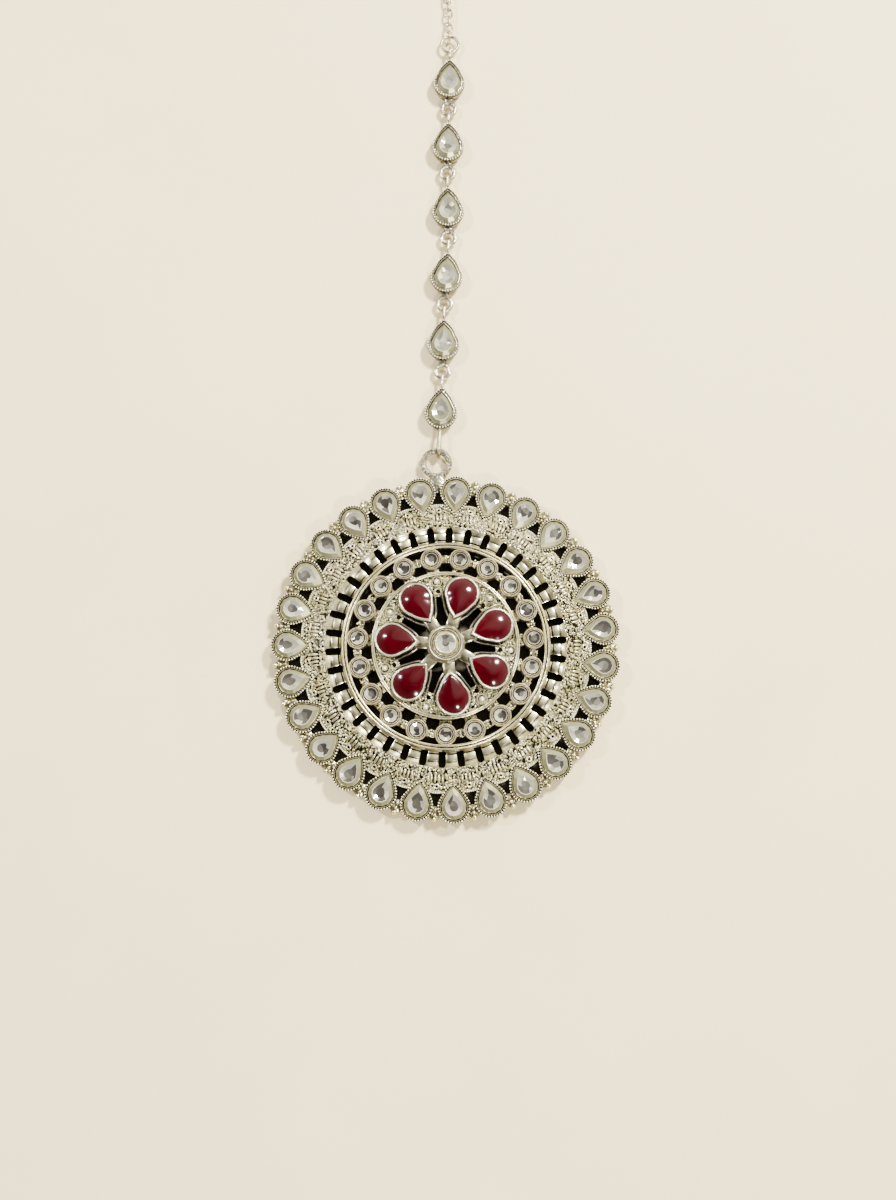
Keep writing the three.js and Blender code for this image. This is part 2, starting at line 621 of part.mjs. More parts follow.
// The last link's far bend holds the eye of the hook, whose shank droops to the table.
const hookHeld = endLinkMiddle + END_LINK_RADIUS - CHAIN_WIRE - HOOK_WIRE - CHAIN_END_GAP;
const hookSeat = chainFrame
  .clone()
  .multiply(new THREE.Matrix4().makeTranslation(0, hookHeld + HOOK_EYE_RADIUS, EYE_LIFT))
  .multiply(new THREE.Matrix4().makeRotationX(-radians(HOOK_DROOP)));
line.add(meshAt("hair_hook", hook(), silver, hookSeat));

const tikka = new THREE.Group();
tikka.add(pendant, line);
export default tikka;
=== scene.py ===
import math

import bpy
import numpy as np
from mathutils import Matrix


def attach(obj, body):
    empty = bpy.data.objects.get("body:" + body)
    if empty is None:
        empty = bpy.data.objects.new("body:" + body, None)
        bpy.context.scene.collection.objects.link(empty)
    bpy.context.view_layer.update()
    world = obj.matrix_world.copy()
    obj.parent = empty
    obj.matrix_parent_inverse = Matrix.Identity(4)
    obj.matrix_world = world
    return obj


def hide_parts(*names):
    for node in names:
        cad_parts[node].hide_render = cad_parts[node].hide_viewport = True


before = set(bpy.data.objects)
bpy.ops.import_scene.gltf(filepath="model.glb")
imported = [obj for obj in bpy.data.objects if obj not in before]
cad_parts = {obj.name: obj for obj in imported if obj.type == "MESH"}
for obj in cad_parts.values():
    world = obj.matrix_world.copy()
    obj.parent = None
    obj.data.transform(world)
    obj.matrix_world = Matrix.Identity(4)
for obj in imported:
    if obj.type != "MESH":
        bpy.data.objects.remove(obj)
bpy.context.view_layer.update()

# Rim cups. Each of the 27 outer stones sits in a pear-shaped cup of the pendant's one casting,
# in white alloy under a thin warm silver plate, with a bead edge cut along its lip.
# Lengths are millimetres here and in every section, and only finished meshes are in metres.


class Shape:
    """A surface in the making: points in mm, triangles, and recess for oxide and painted shade, 0 on open
    metal and 1 in a hollow.
    """

    def __init__(self, points, triangles, recess=0.0):
        self.points = np.asarray(points, float).reshape(-1, 3)
        self.triangles = np.asarray(triangles, int).reshape(-1, 3)
        self.recess = np.array(np.broadcast_to(np.asarray(recess, float), len(self.points)))

    def at(self, *places):
        """Copies of the surface, one for each 4 by 4 place, as one surface."""
        full = np.c_[self.points, np.ones(len(self.points))]
        points = np.einsum("nij,pj->npi", np.array(places), full)[:, :, :3]
        steps = len(self.points) * np.arange(len(places))
        triangles = self.triangles[None] + steps[:, None, None]
        return Shape(points, triangles, np.tile(self.recess, len(places)))


def joined(*shapes):
    """Several surfaces as one, their triangles renumbered past the points before them."""
    starts = np.cumsum([0] + [len(shape.points) for shape in shapes[:-1]])
    return Shape(
        np.vstack([shape.points for shape in shapes]),
        np.vstack([shape.triangles + start for shape, start in zip(shapes, starts)]),
        np.concatenate([shape.recess for shape in shapes]),
    )


def grid(points, recess=0.0, closed=True):
    """The skin over rows of points: two triangles between four neighbours, round to the first if closed."""
    rows, columns = points.shape[:2]
    across = columns if closed else columns - 1
    i, j = np.meshgrid(np.arange(rows - 1), np.arange(across), indexing="ij")
    a, b = (i * columns + j).ravel(), (i * columns + (j + 1) % columns).ravel()
    triangles = np.vstack([np.c_[a, b, b + columns], np.c_[a, b + columns, a + columns]])
    return Shape(points, triangles, np.broadcast_to(recess, (rows, columns)).ravel())


def loft(outline, rows):
    """An outline in XY carried through rows of (scale, height, recess), both ends closed by a fan."""
    rows = np.asarray(rows, float)
    count = len(outline)
    flat = rows[:, None, :1] * outline[None]
    points = np.concatenate([flat, np.broadcast_to(rows[:, None, 1:2], (len(rows), count, 1))], axis=2)
    skin = grid(points, rows[:, 2:3])
    first = np.arange(count)
    last = (len(rows) - 1) * count + first
    low, high = len(skin.points), len(skin.points) + 1
    back = np.c_[np.roll(first, -1), first, np.full(count, low)]
    front = np.c_[last, np.roll(last, -1), np.full(count, high)]
    middles = [[0, 0, rows[0, 1]], [0, 0, rows[-1, 1]]]
    return Shape(
        np.vstack([skin.points, middles]),
        np.vstack([skin.triangles, back, front]),
        np.append(skin.recess, [rows[0, 2], rows[-1, 2]]),
    )


def pear(radius, point, arc=30, flank=8, bulge=0.0):
    """A pear: a round end about the origin, and a tip at point radii towards -Y.

    Its flanks are the tangents to the tip, which touch the circle at asin(1 / point) below the X axis,
    pushed out sideways by bulge times the sine of the way along them.
    """
    start = -math.asin(1 / point)
    angles = np.linspace(start, math.pi - start, arc)
    bend = radius * np.c_[np.cos(angles), np.sin(angles)]
    tip = np.array([0, -radius * point])
    share = np.linspace(0, 1, flank + 1)[1:, None]
    swell = bulge * np.sin(math.pi * share) * [1, 0]
    left = bend[-1] + (tip - bend[-1]) * share - swell
    right = tip + (bend[0] - tip) * share + swell
    return np.vstack([bend, left, right[:-1]])


def cup(outline, radius, rows):
    """A cup on an outline: rows of (inset from its edge in mm, height, recess), from the back up and in."""
    return loft(outline, [((radius - inset) / radius, height, recess) for inset, height, recess in rows])


def spaced(outline, pitch):
    """Points along a closed outline, evenly spaced by its length, as near the pitch as fits."""
    closed = np.vstack([outline, outline[:1]])
    along = np.append(0, np.cumsum(np.linalg.norm(np.diff(closed, axis=0), axis=1)))
    spots = np.linspace(0, along[-1], round(along[-1] / pitch), endpoint=False)
    return np.c_[np.interp(spots, along, closed[:, 0]), np.interp(spots, along, closed[:, 1])]


def beads(centres, radii, recess=0.0):
    """Balls of 32 faces: the unit octahedron's corners and edge middles on the sphere, scaled and moved."""
    corners = np.vstack([np.eye(3), -np.eye(3)])
    upper = [[0, 1, 2], [1, 3, 2], [3, 4, 2], [4, 0, 2]]
    faces = np.array(upper + [[1, 0, 5], [3, 1, 5], [4, 3, 5], [0, 4, 5]])
    edges = np.sort(np.vstack([faces[:, [0, 1]], faces[:, [1, 2]], faces[:, [2, 0]]]), axis=1)
    unique, number = np.unique(edges, axis=0, return_inverse=True)
    ball = np.vstack([corners, corners[unique].sum(axis=1) / math.sqrt(2)])
    ab, bc, ca = number.reshape(3, -1) + 6
    a, b, c = faces.T
    triangles = np.vstack([np.c_[a, ab, ca], np.c_[b, bc, ab], np.c_[c, ca, bc], np.c_[ab, bc, ca]])
    centres = np.asarray(centres, float).reshape(-1, 3)
    points = centres[:, None] + np.broadcast_to(radii, len(centres))[:, None, None] * ball[None]
    numbers = triangles[None] + len(ball) * np.arange(len(centres))[:, None, None]
    return Shape(points, numbers, recess)


def turn(axis, degrees):
    """A turn about X, Y or Z as a 4 by 4 matrix, anticlockwise seen from the axis's end."""
    i, j = {"x": (1, 2), "y": (2, 0), "z": (0, 1)}[axis]
    matrix = np.eye(4)
    matrix[i, i] = matrix[j, j] = math.cos(math.radians(degrees))
    matrix[j, i] = math.sin(math.radians(degrees))
    matrix[i, j] = -matrix[j, i]
    return matrix


def move(x, y, z):
    """A shift as a 4 by 4 matrix."""
    matrix = np.eye(4)
    matrix[:3, 3] = x, y, z
    return matrix


PENDANT_TURN = 2.94  # degrees anticlockwise, as the pendant lies


def round_pendant(count, first, radius=0.0, height=0.0, tilt=0.0):
    """Places clockwise round the pendant from the bail, +Y outwards, each tilted outer end down."""
    spots = PENDANT_TURN - first - 360 * np.arange(count) / count
    return [turn("z", spot) @ move(0, radius, height) @ turn("x", -tilt) for spot in spots]


def finished(name, shape, material, sharp=40):
    """The surface as an object on the part, with smooth faces and hard edges past the sharp angle."""
    mesh = bpy.data.meshes.new(name)
    mesh.from_pydata((shape.points / 1000).tolist(), [], shape.triangles.tolist())
    depth = mesh.attributes.new("recess", "FLOAT", "POINT")
    depth.data.foreach_set("value", shape.recess)
    if sharp:
        mesh.shade_smooth()
        mesh.set_sharp_from_angle(angle=math.radians(sharp))
    mesh.materials.append(material)
    piece = bpy.data.objects.new(name, mesh)
    bpy.context.scene.collection.objects.link(piece)
    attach(piece, "root")
    return piece


def linear(code):
    """An sRGB hex colour as linear red, green, blue and an alpha of 1."""
    channels = [int(code[i : i + 2], 16) / 255 for i in (1, 3, 5)]
    return [c / 12.92 if c <= 0.04045 else ((c + 0.055) / 1.055) ** 2.4 for c in channels] + [1.0]


def node(tree, kind, values, **settings):
    """Adds a node with its settings. A value that is another node's output is linked, any other is set."""
    made = tree.nodes.new(kind)
    for name, value in settings.items():
        setattr(made, name, value)
    for socket, value in values.items():
        if isinstance(value, bpy.types.NodeSocket):
            tree.links.new(value, made.inputs[socket])
        else:
            made.inputs[socket].default_value = value
    return made


def new_material(name):
    """A material with an empty node tree, and that tree."""
    material = bpy.data.materials.new(name)
    material.use_nodes = True
    material.node_tree.nodes.clear()
    return material, material.node_tree


def silver_plate(name, bright, dull, hollow, gloss, matt, grain, depth, crevice, metallic=1.0):
    """Cast metal under plate: bright to dull in soft patches 3 mm wide, and the hollow colour of oxide and
    painted shade where recess is 1.

    Roughness runs from gloss to matt with the patches. Grain is the width in mm of the casting's round
    grains and depth their height: a grain's face falls off with the distance to its middle, and the
    crevice share of the hollow colour lies between grains as oxide and painted shade. Metallic under 1
    stands for a skin that scatters some of the light.
    """
    material, tree = new_material(name)
    place = node(tree, "ShaderNodeTexCoord", {}).outputs["Object"]
    noise = node(tree, "ShaderNodeTexNoise", {"Vector": place, "Scale": 330.0, "Detail": 5.0})
    patches = noise.outputs["Fac"]
    grains = node(tree, "ShaderNodeTexVoronoi", {"Vector": place, "Scale": 1000 / grain}, feature="F1")
    from_middle = grains.outputs["Distance"]
    between = node(
        tree,
        "ShaderNodeMapRange",
        {"Value": from_middle, "From Min": 0.45, "From Max": 0.8, "To Max": crevice},
    )
    # Oxide and painted shade: recess and the crevices between grains darken the colour towards the hollow
    # colour.
    recess = node(tree, "ShaderNodeAttribute", {}, attribute_name="recess")
    dark = node(
        tree,
        "ShaderNodeMath",
        {0: recess.outputs["Fac"], 1: between.outputs["Result"]},
        operation="ADD",
        use_clamp=True,
    )
    spread = node(tree, "ShaderNodeMapRange", {"Value": patches, "From Min": 0.35, "From Max": 0.65})
    metal = node(
        tree,
        "ShaderNodeMix",
        {0: spread.outputs["Result"], 6: linear(bright), 7: linear(dull)},
        data_type="RGBA",
    )
    aged = node(
        tree,
        "ShaderNodeMix",
        {0: dark.outputs["Value"], 6: metal.outputs[2], 7: linear(hollow)},
        data_type="RGBA",
    )
    wear = node(
        tree,
        "ShaderNodeMapRange",
        {"Value": patches, "From Min": 0.3, "From Max": 0.7, "To Min": gloss, "To Max": matt},
    )
    face = node(tree, "ShaderNodeMath", {0: 1.0, 1: from_middle}, operation="SUBTRACT")
    cast = node(tree, "ShaderNodeBump", {"Height": face.outputs["Value"], "Distance": depth / 1000})
    shader = node(
        tree,
        "ShaderNodeBsdfPrincipled",
        {
            "Base Color": aged.outputs[2],
            "Metallic": metallic,
            "Roughness": wear.outputs["Result"],
            "Normal": cast.outputs["Normal"],
        },
    )
    node(tree, "ShaderNodeOutputMaterial", {"Surface": shader.outputs["BSDF"]})
    return material


# Polished plate mirrors the room in soft highlights, a little warm, and is brown in its hollows with oxide
# and painted shade.
OXIDE = "#100C06"
polished = silver_plate(
    "polished silver plate", "#F8F1CC", "#DDD4A6", OXIDE,
    gloss=0.18, matt=0.34, grain=0.5, depth=0.012, crevice=0.15,
)

# Satin plate on the beads is the same metal in a paler colour, a painted highlight, so it shines evenly
# from all sides.
satin = silver_plate(
    "satin silver plate", "#FFFADF", "#F0E8C4", OXIDE,
    gloss=0.26, matt=0.4, grain=0.5, depth=0.01, crevice=0.1, metallic=0.82,
)

PEAR_COUNT = 27
PEAR_RADIUS = 2.53
RIM_POINT = 1.57
PEAR_CENTRE = 24.542
RIM_BULGE = 0.16
MILGRAIN = 0.15  # radius of the beads along a lip
rim_places = round_pendant(PEAR_COUNT, 180 / PEAR_COUNT, PEAR_CENTRE)
# Rows of inset, height and recess: recess darkens the cup's foot, outer wall and lip groove with oxide and
# painted shade.
rim_cup_rows = [
    (2.3, 0.0, 0.6),
    (0.15, 0.0, 0.9),
    (0.02, 0.14, 0.9),
    (0.0, 0.9, 0.75),
    (0.0, 1.9, 0.6),
    (0.0, 2.3, 0.6),
    (0.02, 2.58, 0.9),
    (0.07, 2.62, 1.0),
    (0.34, 2.62, 1.0),
    (0.37, 2.78, 0.1),
    (0.41, 2.84, 0.0),
    (0.48, 2.84, 0.0),
    (0.51, 2.7, 0.6),
    (0.52, 2.2, 0.9),
    (0.7, 1.3, 0.8),
]
rim_cup = cup(pear(PEAR_RADIUS, RIM_POINT, bulge=RIM_BULGE), PEAR_RADIUS, rim_cup_rows)
rim_lip = spaced(pear(PEAR_RADIUS - MILGRAIN, RIM_POINT, 60, 16, RIM_BULGE), 0.43)
rim_beading = beads(np.c_[rim_lip, np.full(len(rim_lip), 2.76)], MILGRAIN)
rim_cups = finished("rim_cups", rim_cup.at(*rim_places), polished)
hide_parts("pendant_frame")
finished("rim_cup_beading", rim_beading.at(*rim_places), satin, 80)

# Rim stones. 27 pear-cut clear glass stones, about 5 by 4 mm, with foil behind, held by their cups' lips.
# A broad smooth slope runs up to a flat table, and the foiled facets of the back show through it as tilted
# foil with painted reflections.


def cut_stone(outline, girdle, table, core, lip, rise, low):
    """A flat-cut stone: a girdle, a smooth slope, and a flat table split as the back's facets show in it.

    The core's ring is the table's outline at a smaller scale, its corners turned half a step. Triangles
    come in ten rings of one count: the point, the girdle twice, the slope twice, a narrow edge twice, the
    star twice, then the core.
    """
    count = len(outline)
    half = (outline + np.roll(outline, -1, axis=0)) / 2
    rings = [
        (outline, girdle, lip - 0.35),
        (outline, girdle, lip - 0.1),
        (outline, table, lip + rise),
        (outline, table * 0.92, lip + rise),
        (half, core, lip + rise),
    ]
    points = np.vstack([np.c_[line * scale, np.full(count, height)] for line, scale, height in rings])
    points = np.vstack([points, [[0, -0.15 * table, lip + rise], [0, 0, low]]])
    i = np.arange(count)
    k = (i + 1) % count
    top, bottom = np.full(count, 5 * count), np.full(count, 5 * count + 1)
    facets = [np.c_[bottom, k, i]]
    for row in (0, count, 2 * count):
        facets += [np.c_[i, k, k + count] + row, np.c_[i, k + count, i + count] + row]
    edge, ring = 3 * count, 4 * count
    facets.append(np.c_[edge + i, edge + k, ring + i])
    facets.append(np.c_[edge + k, ring + k, ring + i])
    facets.append(np.c_[ring + i, ring + k, top])
    return Shape(points, np.vstack(facets))


def set_stones(name, shape, stones, seed, material, shade=0.85, tint=0.3):
    """Cut stones as one object, each facet with a tone and with the way that the foil behind it faces.

    A tone is 0 for the cream slope, 0.5 for white and 1 for dark, and the white and dark tones are painted
    reflections of the back's facets. The slope's foil faces as the slope does. In the star it leans in
    towards the middle by 6 to 34 degrees, in the edge by 30, and in the core by 0 to 8. Facets of the back
    are broad, so two neighbours round the star share one tone and lean, and the core has two. Shade is the
    core's tone, and tint the least of the star's.
    """
    random = np.random.default_rng(seed)
    count = len(shape.triangles) // stones // 10
    ring = np.tile(np.repeat(np.arange(10), count), stones)
    edge, star, core = (ring == 5) | (ring == 6), (ring == 7) | (ring == 8), ring == 9
    wide = np.repeat(random.random((stones, 3, count // 2)), 2, axis=2)
    chance, lightness, tip = (np.tile(wide[:, i], 10).ravel() for i in range(3))
    halves = np.tile(np.repeat(random.random((stones, 2)), count // 2, axis=1), 10).ravel()
    # Painted reflections: the white edge and the light and dark tones of the star and core stand for the
    # back's facets.
    dark_share = 0.35
    star_tones = np.where(chance < dark_share, shade + 0.08, tint + 0.35 * lightness)
    core_tones = shade + (1.05 - shade) * (halves - 0.3)
    tones = np.select([core, star, edge], [core_tones, star_tones, 0.35], 0.02)
    a, b, c = (shape.points[shape.triangles[:, i]] for i in range(3))
    square = np.cross(b - a, c - a)
    square /= np.linalg.norm(square, axis=1)[:, None]
    middles = ((a + b + c) / 3).reshape(stones, -1, 3)
    outwards = (middles - middles.mean(axis=1, keepdims=True)).reshape(-1, 3)
    heading = np.arctan2(outwards[:, 1], outwards[:, 0]) + (lightness - 0.5)
    lean = np.radians(np.select([core, star], [8 * tip, 6 + 28 * tip], 30.0))
    foil = np.c_[-np.sin(lean) * np.cos(heading), -np.sin(lean) * np.sin(heading), np.cos(lean)]
    facing = np.where((ring > 4)[:, None], foil, square)
    piece = finished(name, shape, material, 0)
    piece.data.attributes.new("tone", "FLOAT", "FACE").data.foreach_set("value", tones)
    piece.data.attributes.new("foil", "FLOAT_VECTOR", "FACE").data.foreach_set("vector", facing.ravel())
    return piece


# Foil-backed glass: cream with a green cast on the slope, and painted reflections of white and violet grey
# in the back's facets. The foil is a metal that faces its own way under each facet, and the glass is a flat
# clear coat over it.
clear_stone, tree = new_material("foil-backed clear glass")
tone = node(tree, "ShaderNodeAttribute", {}, attribute_name="tone").outputs["Fac"]
foil = node(tree, "ShaderNodeAttribute", {}, attribute_name="foil").outputs["Vector"]
to_world = {"vector_type": "NORMAL", "convert_from": "OBJECT", "convert_to": "WORLD"}
facing = node(tree, "ShaderNodeVectorTransform", {0: foil}, **to_world)
white = node(tree, "ShaderNodeMapRange", {"Value": tone, "From Max": 0.3})
lit = node(
    tree,
    "ShaderNodeMix",
    {0: white.outputs["Result"], 6: linear("#8E8A62"), 7: linear("#F8F3DF")},
    data_type="RGBA",
)
dark = node(tree, "ShaderNodeMapRange", {"Value": tone, "From Min": 0.5, "From Max": 1.0})
glass = node(
    tree,
    "ShaderNodeMix",
    {0: dark.outputs["Result"], 6: lit.outputs[2], 7: linear("#2C2628")},
    data_type="RGBA",
)
haze = node(tree, "ShaderNodeMapRange", {"Value": tone, "From Max": 0.3, "To Min": 0.35, "To Max": 0.07})
shader = node(
    tree,
    "ShaderNodeBsdfPrincipled",
    {
        "Base Color": glass.outputs[2],
        "Metallic": 0.8,
        "Roughness": haze.outputs["Result"],
        "Normal": facing.outputs["Vector"],
        "Coat Weight": 0.7,
        "Coat Roughness": 0.03,
    },
)
node(tree, "ShaderNodeOutputMaterial", {"Surface": shader.outputs["BSDF"]})

rim_cut = pear(1.0, RIM_POINT, arc=9, flank=2, bulge=0.07)
rim_stone = cut_stone(rim_cut, girdle=1.93, table=1.34, core=0.7, lip=2.78, rise=0.3, low=1.35)
rim_stones = set_stones("rim_stones", rim_stone.at(*rim_places), PEAR_COUNT, seed=1, material=clear_stone)
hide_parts(*[f"rim_stone_{i + 1:02d}" for i in range(PEAR_COUNT)])

# Tabs between the rim cups. Each small web carries three cast grains that grow outwards,
# and fills the notch between two round ends. There is none at the bail.
tab_places = round_pendant(PEAR_COUNT, 0)[1:]
tab_side = np.array([[0.5, -1.0], [0.75, 0.2], [0.72, 0.9], [0.4, 1.3]])
tab_outline = np.vstack([tab_side, tab_side[::-1] * [-1, 1]])
TAB_RING = 25.4  # radius of the tabs' middles
tab = loft(tab_outline, [(0.9, 0.25, 0.8), (1.0, 0.35, 0.7), (1.0, 1.7, 0.4), (0.9, 1.85, 0.4)])
tab_grains = beads([[0, 24.95, 2.05], [0, 25.7, 2.1], [0, 26.42, 1.95]], np.array([0.28, 0.34, 0.46]))
tabs = joined(tab.at(move(0, TAB_RING, 0)), tab_grains).at(*tab_places)
finished("rim_tabs", tabs, polished, 80)

# Fans. 27 scalloped fans between the pears' tips slope down from a crest to a beaded edge,
# strewn with grain, with four raised bars and one small eye on each. One casting with the rim.
# The back is hollow under the crest.
SLOT_OUTER = 18.62
FAN_OUTER = 21.97
FAN_LOBE = 0.6
CREST = 19.77
FAN_TOP = 3.2
BAR_RING = 20.3  # radius of the bars' middles
EYE_RING = 21.45


def lobe(angle):
    """How far the fans' edge swells at an angle from the bail, from 0 at a pear to 1 at a fan's middle."""
    return np.abs(np.cos(PEAR_COUNT * angle / 2)) ** 0.8


def fan_height(radius, angle):
    """The fans' face: level to the crest, then down in a straight slope to the scalloped edge."""
    share = np.clip((radius - CREST) / (FAN_OUTER - CREST), 0, 1)
    return FAN_TOP - 0.95 * share - 0.1 * (1 - lobe(angle)) * share


def on_pendant(radius, angle, height):
    """Points from radius, angle clockwise from the bail, and height.

    X is the radius times the turned angle's sine, and Y times its cosine.
    """
    turned = angle - math.radians(PENDANT_TURN)
    return np.stack(np.broadcast_arrays(radius * np.sin(turned), radius * np.cos(turned), height), axis=-1)


angles = np.linspace(0, 2 * math.pi, PEAR_COUNT * 16, endpoint=False)
edge = FAN_OUTER + FAN_LOBE * lobe(angles) - 0.05
shares = np.array([0, 0.1, 0.24, 0.4, 0.55, 0.7, 0.85, 0.96, 1.0])[:, None]
radii = SLOT_OUTER + (edge[None] - SLOT_OUTER) * shares
heights = fan_height(radii, angles[None])
heights[-1] -= 0.15
side = np.array([[0.0, 1.6], [0.0, 0.5], [0.0, 0.02], [-2.4, 0.02], [-2.8, 1.2]])
radii = np.vstack([radii, edge[None] + side[:, :1]])
heights = np.vstack([heights, np.broadcast_to(side[:, 1:], (len(side), len(angles)))])
# Recess per row darkens the fans' ground and their walls with oxide and painted shade.
depth = np.array([0.3, 0.7, 0.75, 0.75, 0.75, 0.7, 0.6, 0.3, 0.1, 0.3, 0.6, 0.8, 0.8, 0.8])[:, None]
fans = grid(on_pendant(radii, angles[None], heights), depth)

GRAIN_COUNT = 5200
random = np.random.default_rng(27)
grain_angle = random.uniform(0, 2 * math.pi, GRAIN_COUNT)
grain_radius = random.uniform(SLOT_OUTER + 0.1, FAN_OUTER + FAN_LOBE - 0.3, GRAIN_COUNT)
grain_size = random.uniform(0.1, 0.21, GRAIN_COUNT)
from_fan = (grain_angle * PEAR_COUNT / (2 * math.pi) + 0.5) % 1 - 0.5
across = from_fan * 2 * math.pi * grain_radius / PEAR_COUNT
on_face = grain_radius < FAN_OUTER + FAN_LOBE * lobe(grain_angle) - 0.28
off_bars = (np.abs(across) > 1.12) | (grain_radius < CREST - 0.2) | (grain_radius > 20.95)
off_eye = np.hypot(across, grain_radius - EYE_RING) > 0.5
kept = on_face & off_bars & off_eye
strewn_height = fan_height(grain_radius, grain_angle) + grain_size * 0.3
strewn = on_pendant(grain_radius, grain_angle, strewn_height)[kept]

fine = np.linspace(0, 2 * math.pi, PEAR_COUNT * 60, endpoint=False)
scallop = FAN_OUTER + FAN_LOBE * lobe(fine) - 0.14
scallop_line = spaced(on_pendant(scallop, fine, 0.0)[:, :2], 0.33)
edge_beads = beads(np.c_[scallop_line, np.full(len(scallop_line), 2.28)], 0.165)


def oval_bar(width, length, height, steps=14):
    """A low oval bar along Y: an ellipse of half-width and half-length, domed to its height."""
    around = np.linspace(0, 2 * math.pi, steps, endpoint=False)
    outline = np.c_[np.cos(around) * width / 2, np.sin(around) * length / 2]
    return loft(outline, [(1, -0.5, 0.6), (1, 0.0, 0.3), (0.86, height * 0.7, 0), (0.5, height, 0)])


def wire_ring(radius, wire, around=40, sides=12, straight=0.0):
    """A ring of round wire in XY, drawn out along Y: its two halves stand the straight length apart."""
    a = np.linspace(0, 2 * math.pi, around, endpoint=False)[:, None] + math.pi / around
    b = -np.linspace(0, 2 * math.pi, sides, endpoint=False)[None]
    reach = radius + wire * np.cos(b)
    y = reach * np.sin(a) + np.sign(np.sin(a)) * straight / 2
    points = np.stack(np.broadcast_arrays(reach * np.cos(a), y, wire * np.sin(b)), axis=2)
    return grid(np.vstack([points, points[:1]]))


slope = math.degrees(math.atan2(0.95, FAN_OUTER - CREST))
bar_places = [
    move(x, BAR_RING, fan_height(BAR_RING, 0.0)) @ turn("x", -slope) @ turn("z", -4 * x)
    for x in (-0.87, -0.29, 0.29, 0.87)
]
eye_place = move(0, EYE_RING, fan_height(EYE_RING, 0.0) + 0.1) @ turn("x", -slope)
pit = oval_bar(0.4, 0.4, 0.02, 10)
pit.recess[:] = 1.0
fan_eye = joined(wire_ring(0.34, 0.13, 20, 8), pit.at(move(0, 0, -0.02))).at(eye_place)
fan_marks = joined(oval_bar(0.42, 1.5, 0.26).at(*bar_places), fan_eye).at(*round_pendant(PEAR_COUNT, 0))

# Granulated plate is dull between its grains, where oxide and painted shade darken its ground, and it is
# rougher than polished plate.
granulated = silver_plate(
    "granulated silver plate", "#F5EEC6", "#CFC696", OXIDE,
    gloss=0.2, matt=0.38, grain=0.32, depth=0.09, crevice=0.7,
)
finished("fans", fans, granulated, 50)
finished("fan_grain", beads(strewn, grain_size[kept]), granulated, 80)
finished("fan_edge_beads", edge_beads, satin, 80)
finished("fan_bars_and_eyes", fan_marks, polished, 50)

# Slotted band. 38 polished bars stand between long slots with arched ends, cast with the fans outside
# and the collar inside. Each bar has a cross ridge near the collar and a raised square face.
SLOT_COUNT = 38
SLOT_HALF = 0.54
SLOT_INNER = 16.22
BAND_BACK = 1.2


def slot_bar():
    """One bar and the half slots beside it: rows along the radius, columns from slot to slot.

    A row's half-width is half the pitch at that radius less the slot's half-width, which closes in a
    half circle over the slot's last stretch. At both sides a wall drops to the hollow back.
    """
    radius, height = np.array(
        [
            (15.9, 2.6),
            (16.2, 2.62),
            (16.24, 2.7),
            (16.34, 2.88),
            (16.46, 2.88),
            (16.56, 2.7),
            (16.66, 2.62),
            (16.72, 2.92),
            (17.1, 2.96),
            (17.5, 2.96),
            (17.68, 2.92),
            (17.74, 2.66),
            (17.9, 2.72),
            (18.1, 2.84),
            (18.3, 2.93),
            (18.44, 3.02),
            (18.55, 3.1),
            (18.62, 3.15),
            (18.75, 3.19),
        ]
    ).T
    shoulder = SLOT_OUTER - SLOT_HALF
    into_arch = np.clip((radius - shoulder) / SLOT_HALF, 0, 1)
    slot = np.where(radius < SLOT_INNER, 0.0, SLOT_HALF * np.sqrt(1 - into_arch**2))
    half = math.pi * radius / SLOT_COUNT - slot
    sides = np.array([-1, -1, -0.97, -0.8, 0, 0.8, 0.97, 1, 1])
    drops = np.array([0, 0.3, 0.07, 0, 0, 0, 0.07, 0.3, 0])
    low = height[:, None] - drops[None]
    low[:, [0, -1]] = BAND_BACK
    angle = half[:, None] * sides[None] / radius[:, None]
    points = np.stack([radius[:, None] * np.sin(angle), radius[:, None] * np.cos(angle), low], axis=2)
    # Recess darkens the slots' walls, the ridge grooves and the back with oxide and painted shade.
    recess = np.tile([1, 0.75, 0.1, 0, 0, 0, 0.1, 0.75, 1.0], (len(radius), 1))
    recess[[5, 6], 2:7] = 0.75
    recess[[11, 12], 1:8] = 0.7
    return grid(points, recess, closed=False)


slot_bars = slot_bar().at(*round_pendant(SLOT_COUNT, 0))
finished("slotted_band", slot_bars, polished, 35)

# Outer collar. Two half-round wires with a dark groove between stand up round the small stones' ring,
# the inner one a little the thicker.


def turned_ring(profile, recess, steps):
    """A profile of (radius, height) corners turned about the pendant's middle, closed on itself."""
    profile = np.vstack([profile, profile[:1]])
    a = np.linspace(0, 2 * math.pi, steps, endpoint=False)[None]
    r, z = profile[:, :1], profile[:, 1:]
    points = np.stack(np.broadcast_arrays(r * np.cos(a), r * np.sin(a), z), axis=2)
    return grid(points, np.append(recess, recess[0])[:, None])


def half_round(centre, radius, top, first, last):
    """Seven corners of a half-round wire seen end-on, over its top between two angles in degrees."""
    a = np.radians(np.linspace(first, last, 7))
    return np.c_[centre + radius * np.cos(a), top - radius + radius * np.sin(a)]


outer_profile = np.vstack(
    [
        [[15.98, BAND_BACK], [15.98, 2.4], [15.98, 3.3]],
        half_round(15.83, 0.15, 4.05, 0, 180),
        [[15.67, 3.6], [15.56, 3.6]],
        half_round(15.36, 0.19, 4.1, 0, 180),
        [[15.17, BAND_BACK]],
    ]
)
over_wire = [0.15, 0, 0, 0, 0, 0, 0.15]
outer_recess = np.array([1.0, 0.6, 0.2, *over_wire, 1.0, 1.0, *over_wire, 1.0])
finished("outer_collar", turned_ring(outer_profile, outer_recess, 180), polished, 60)

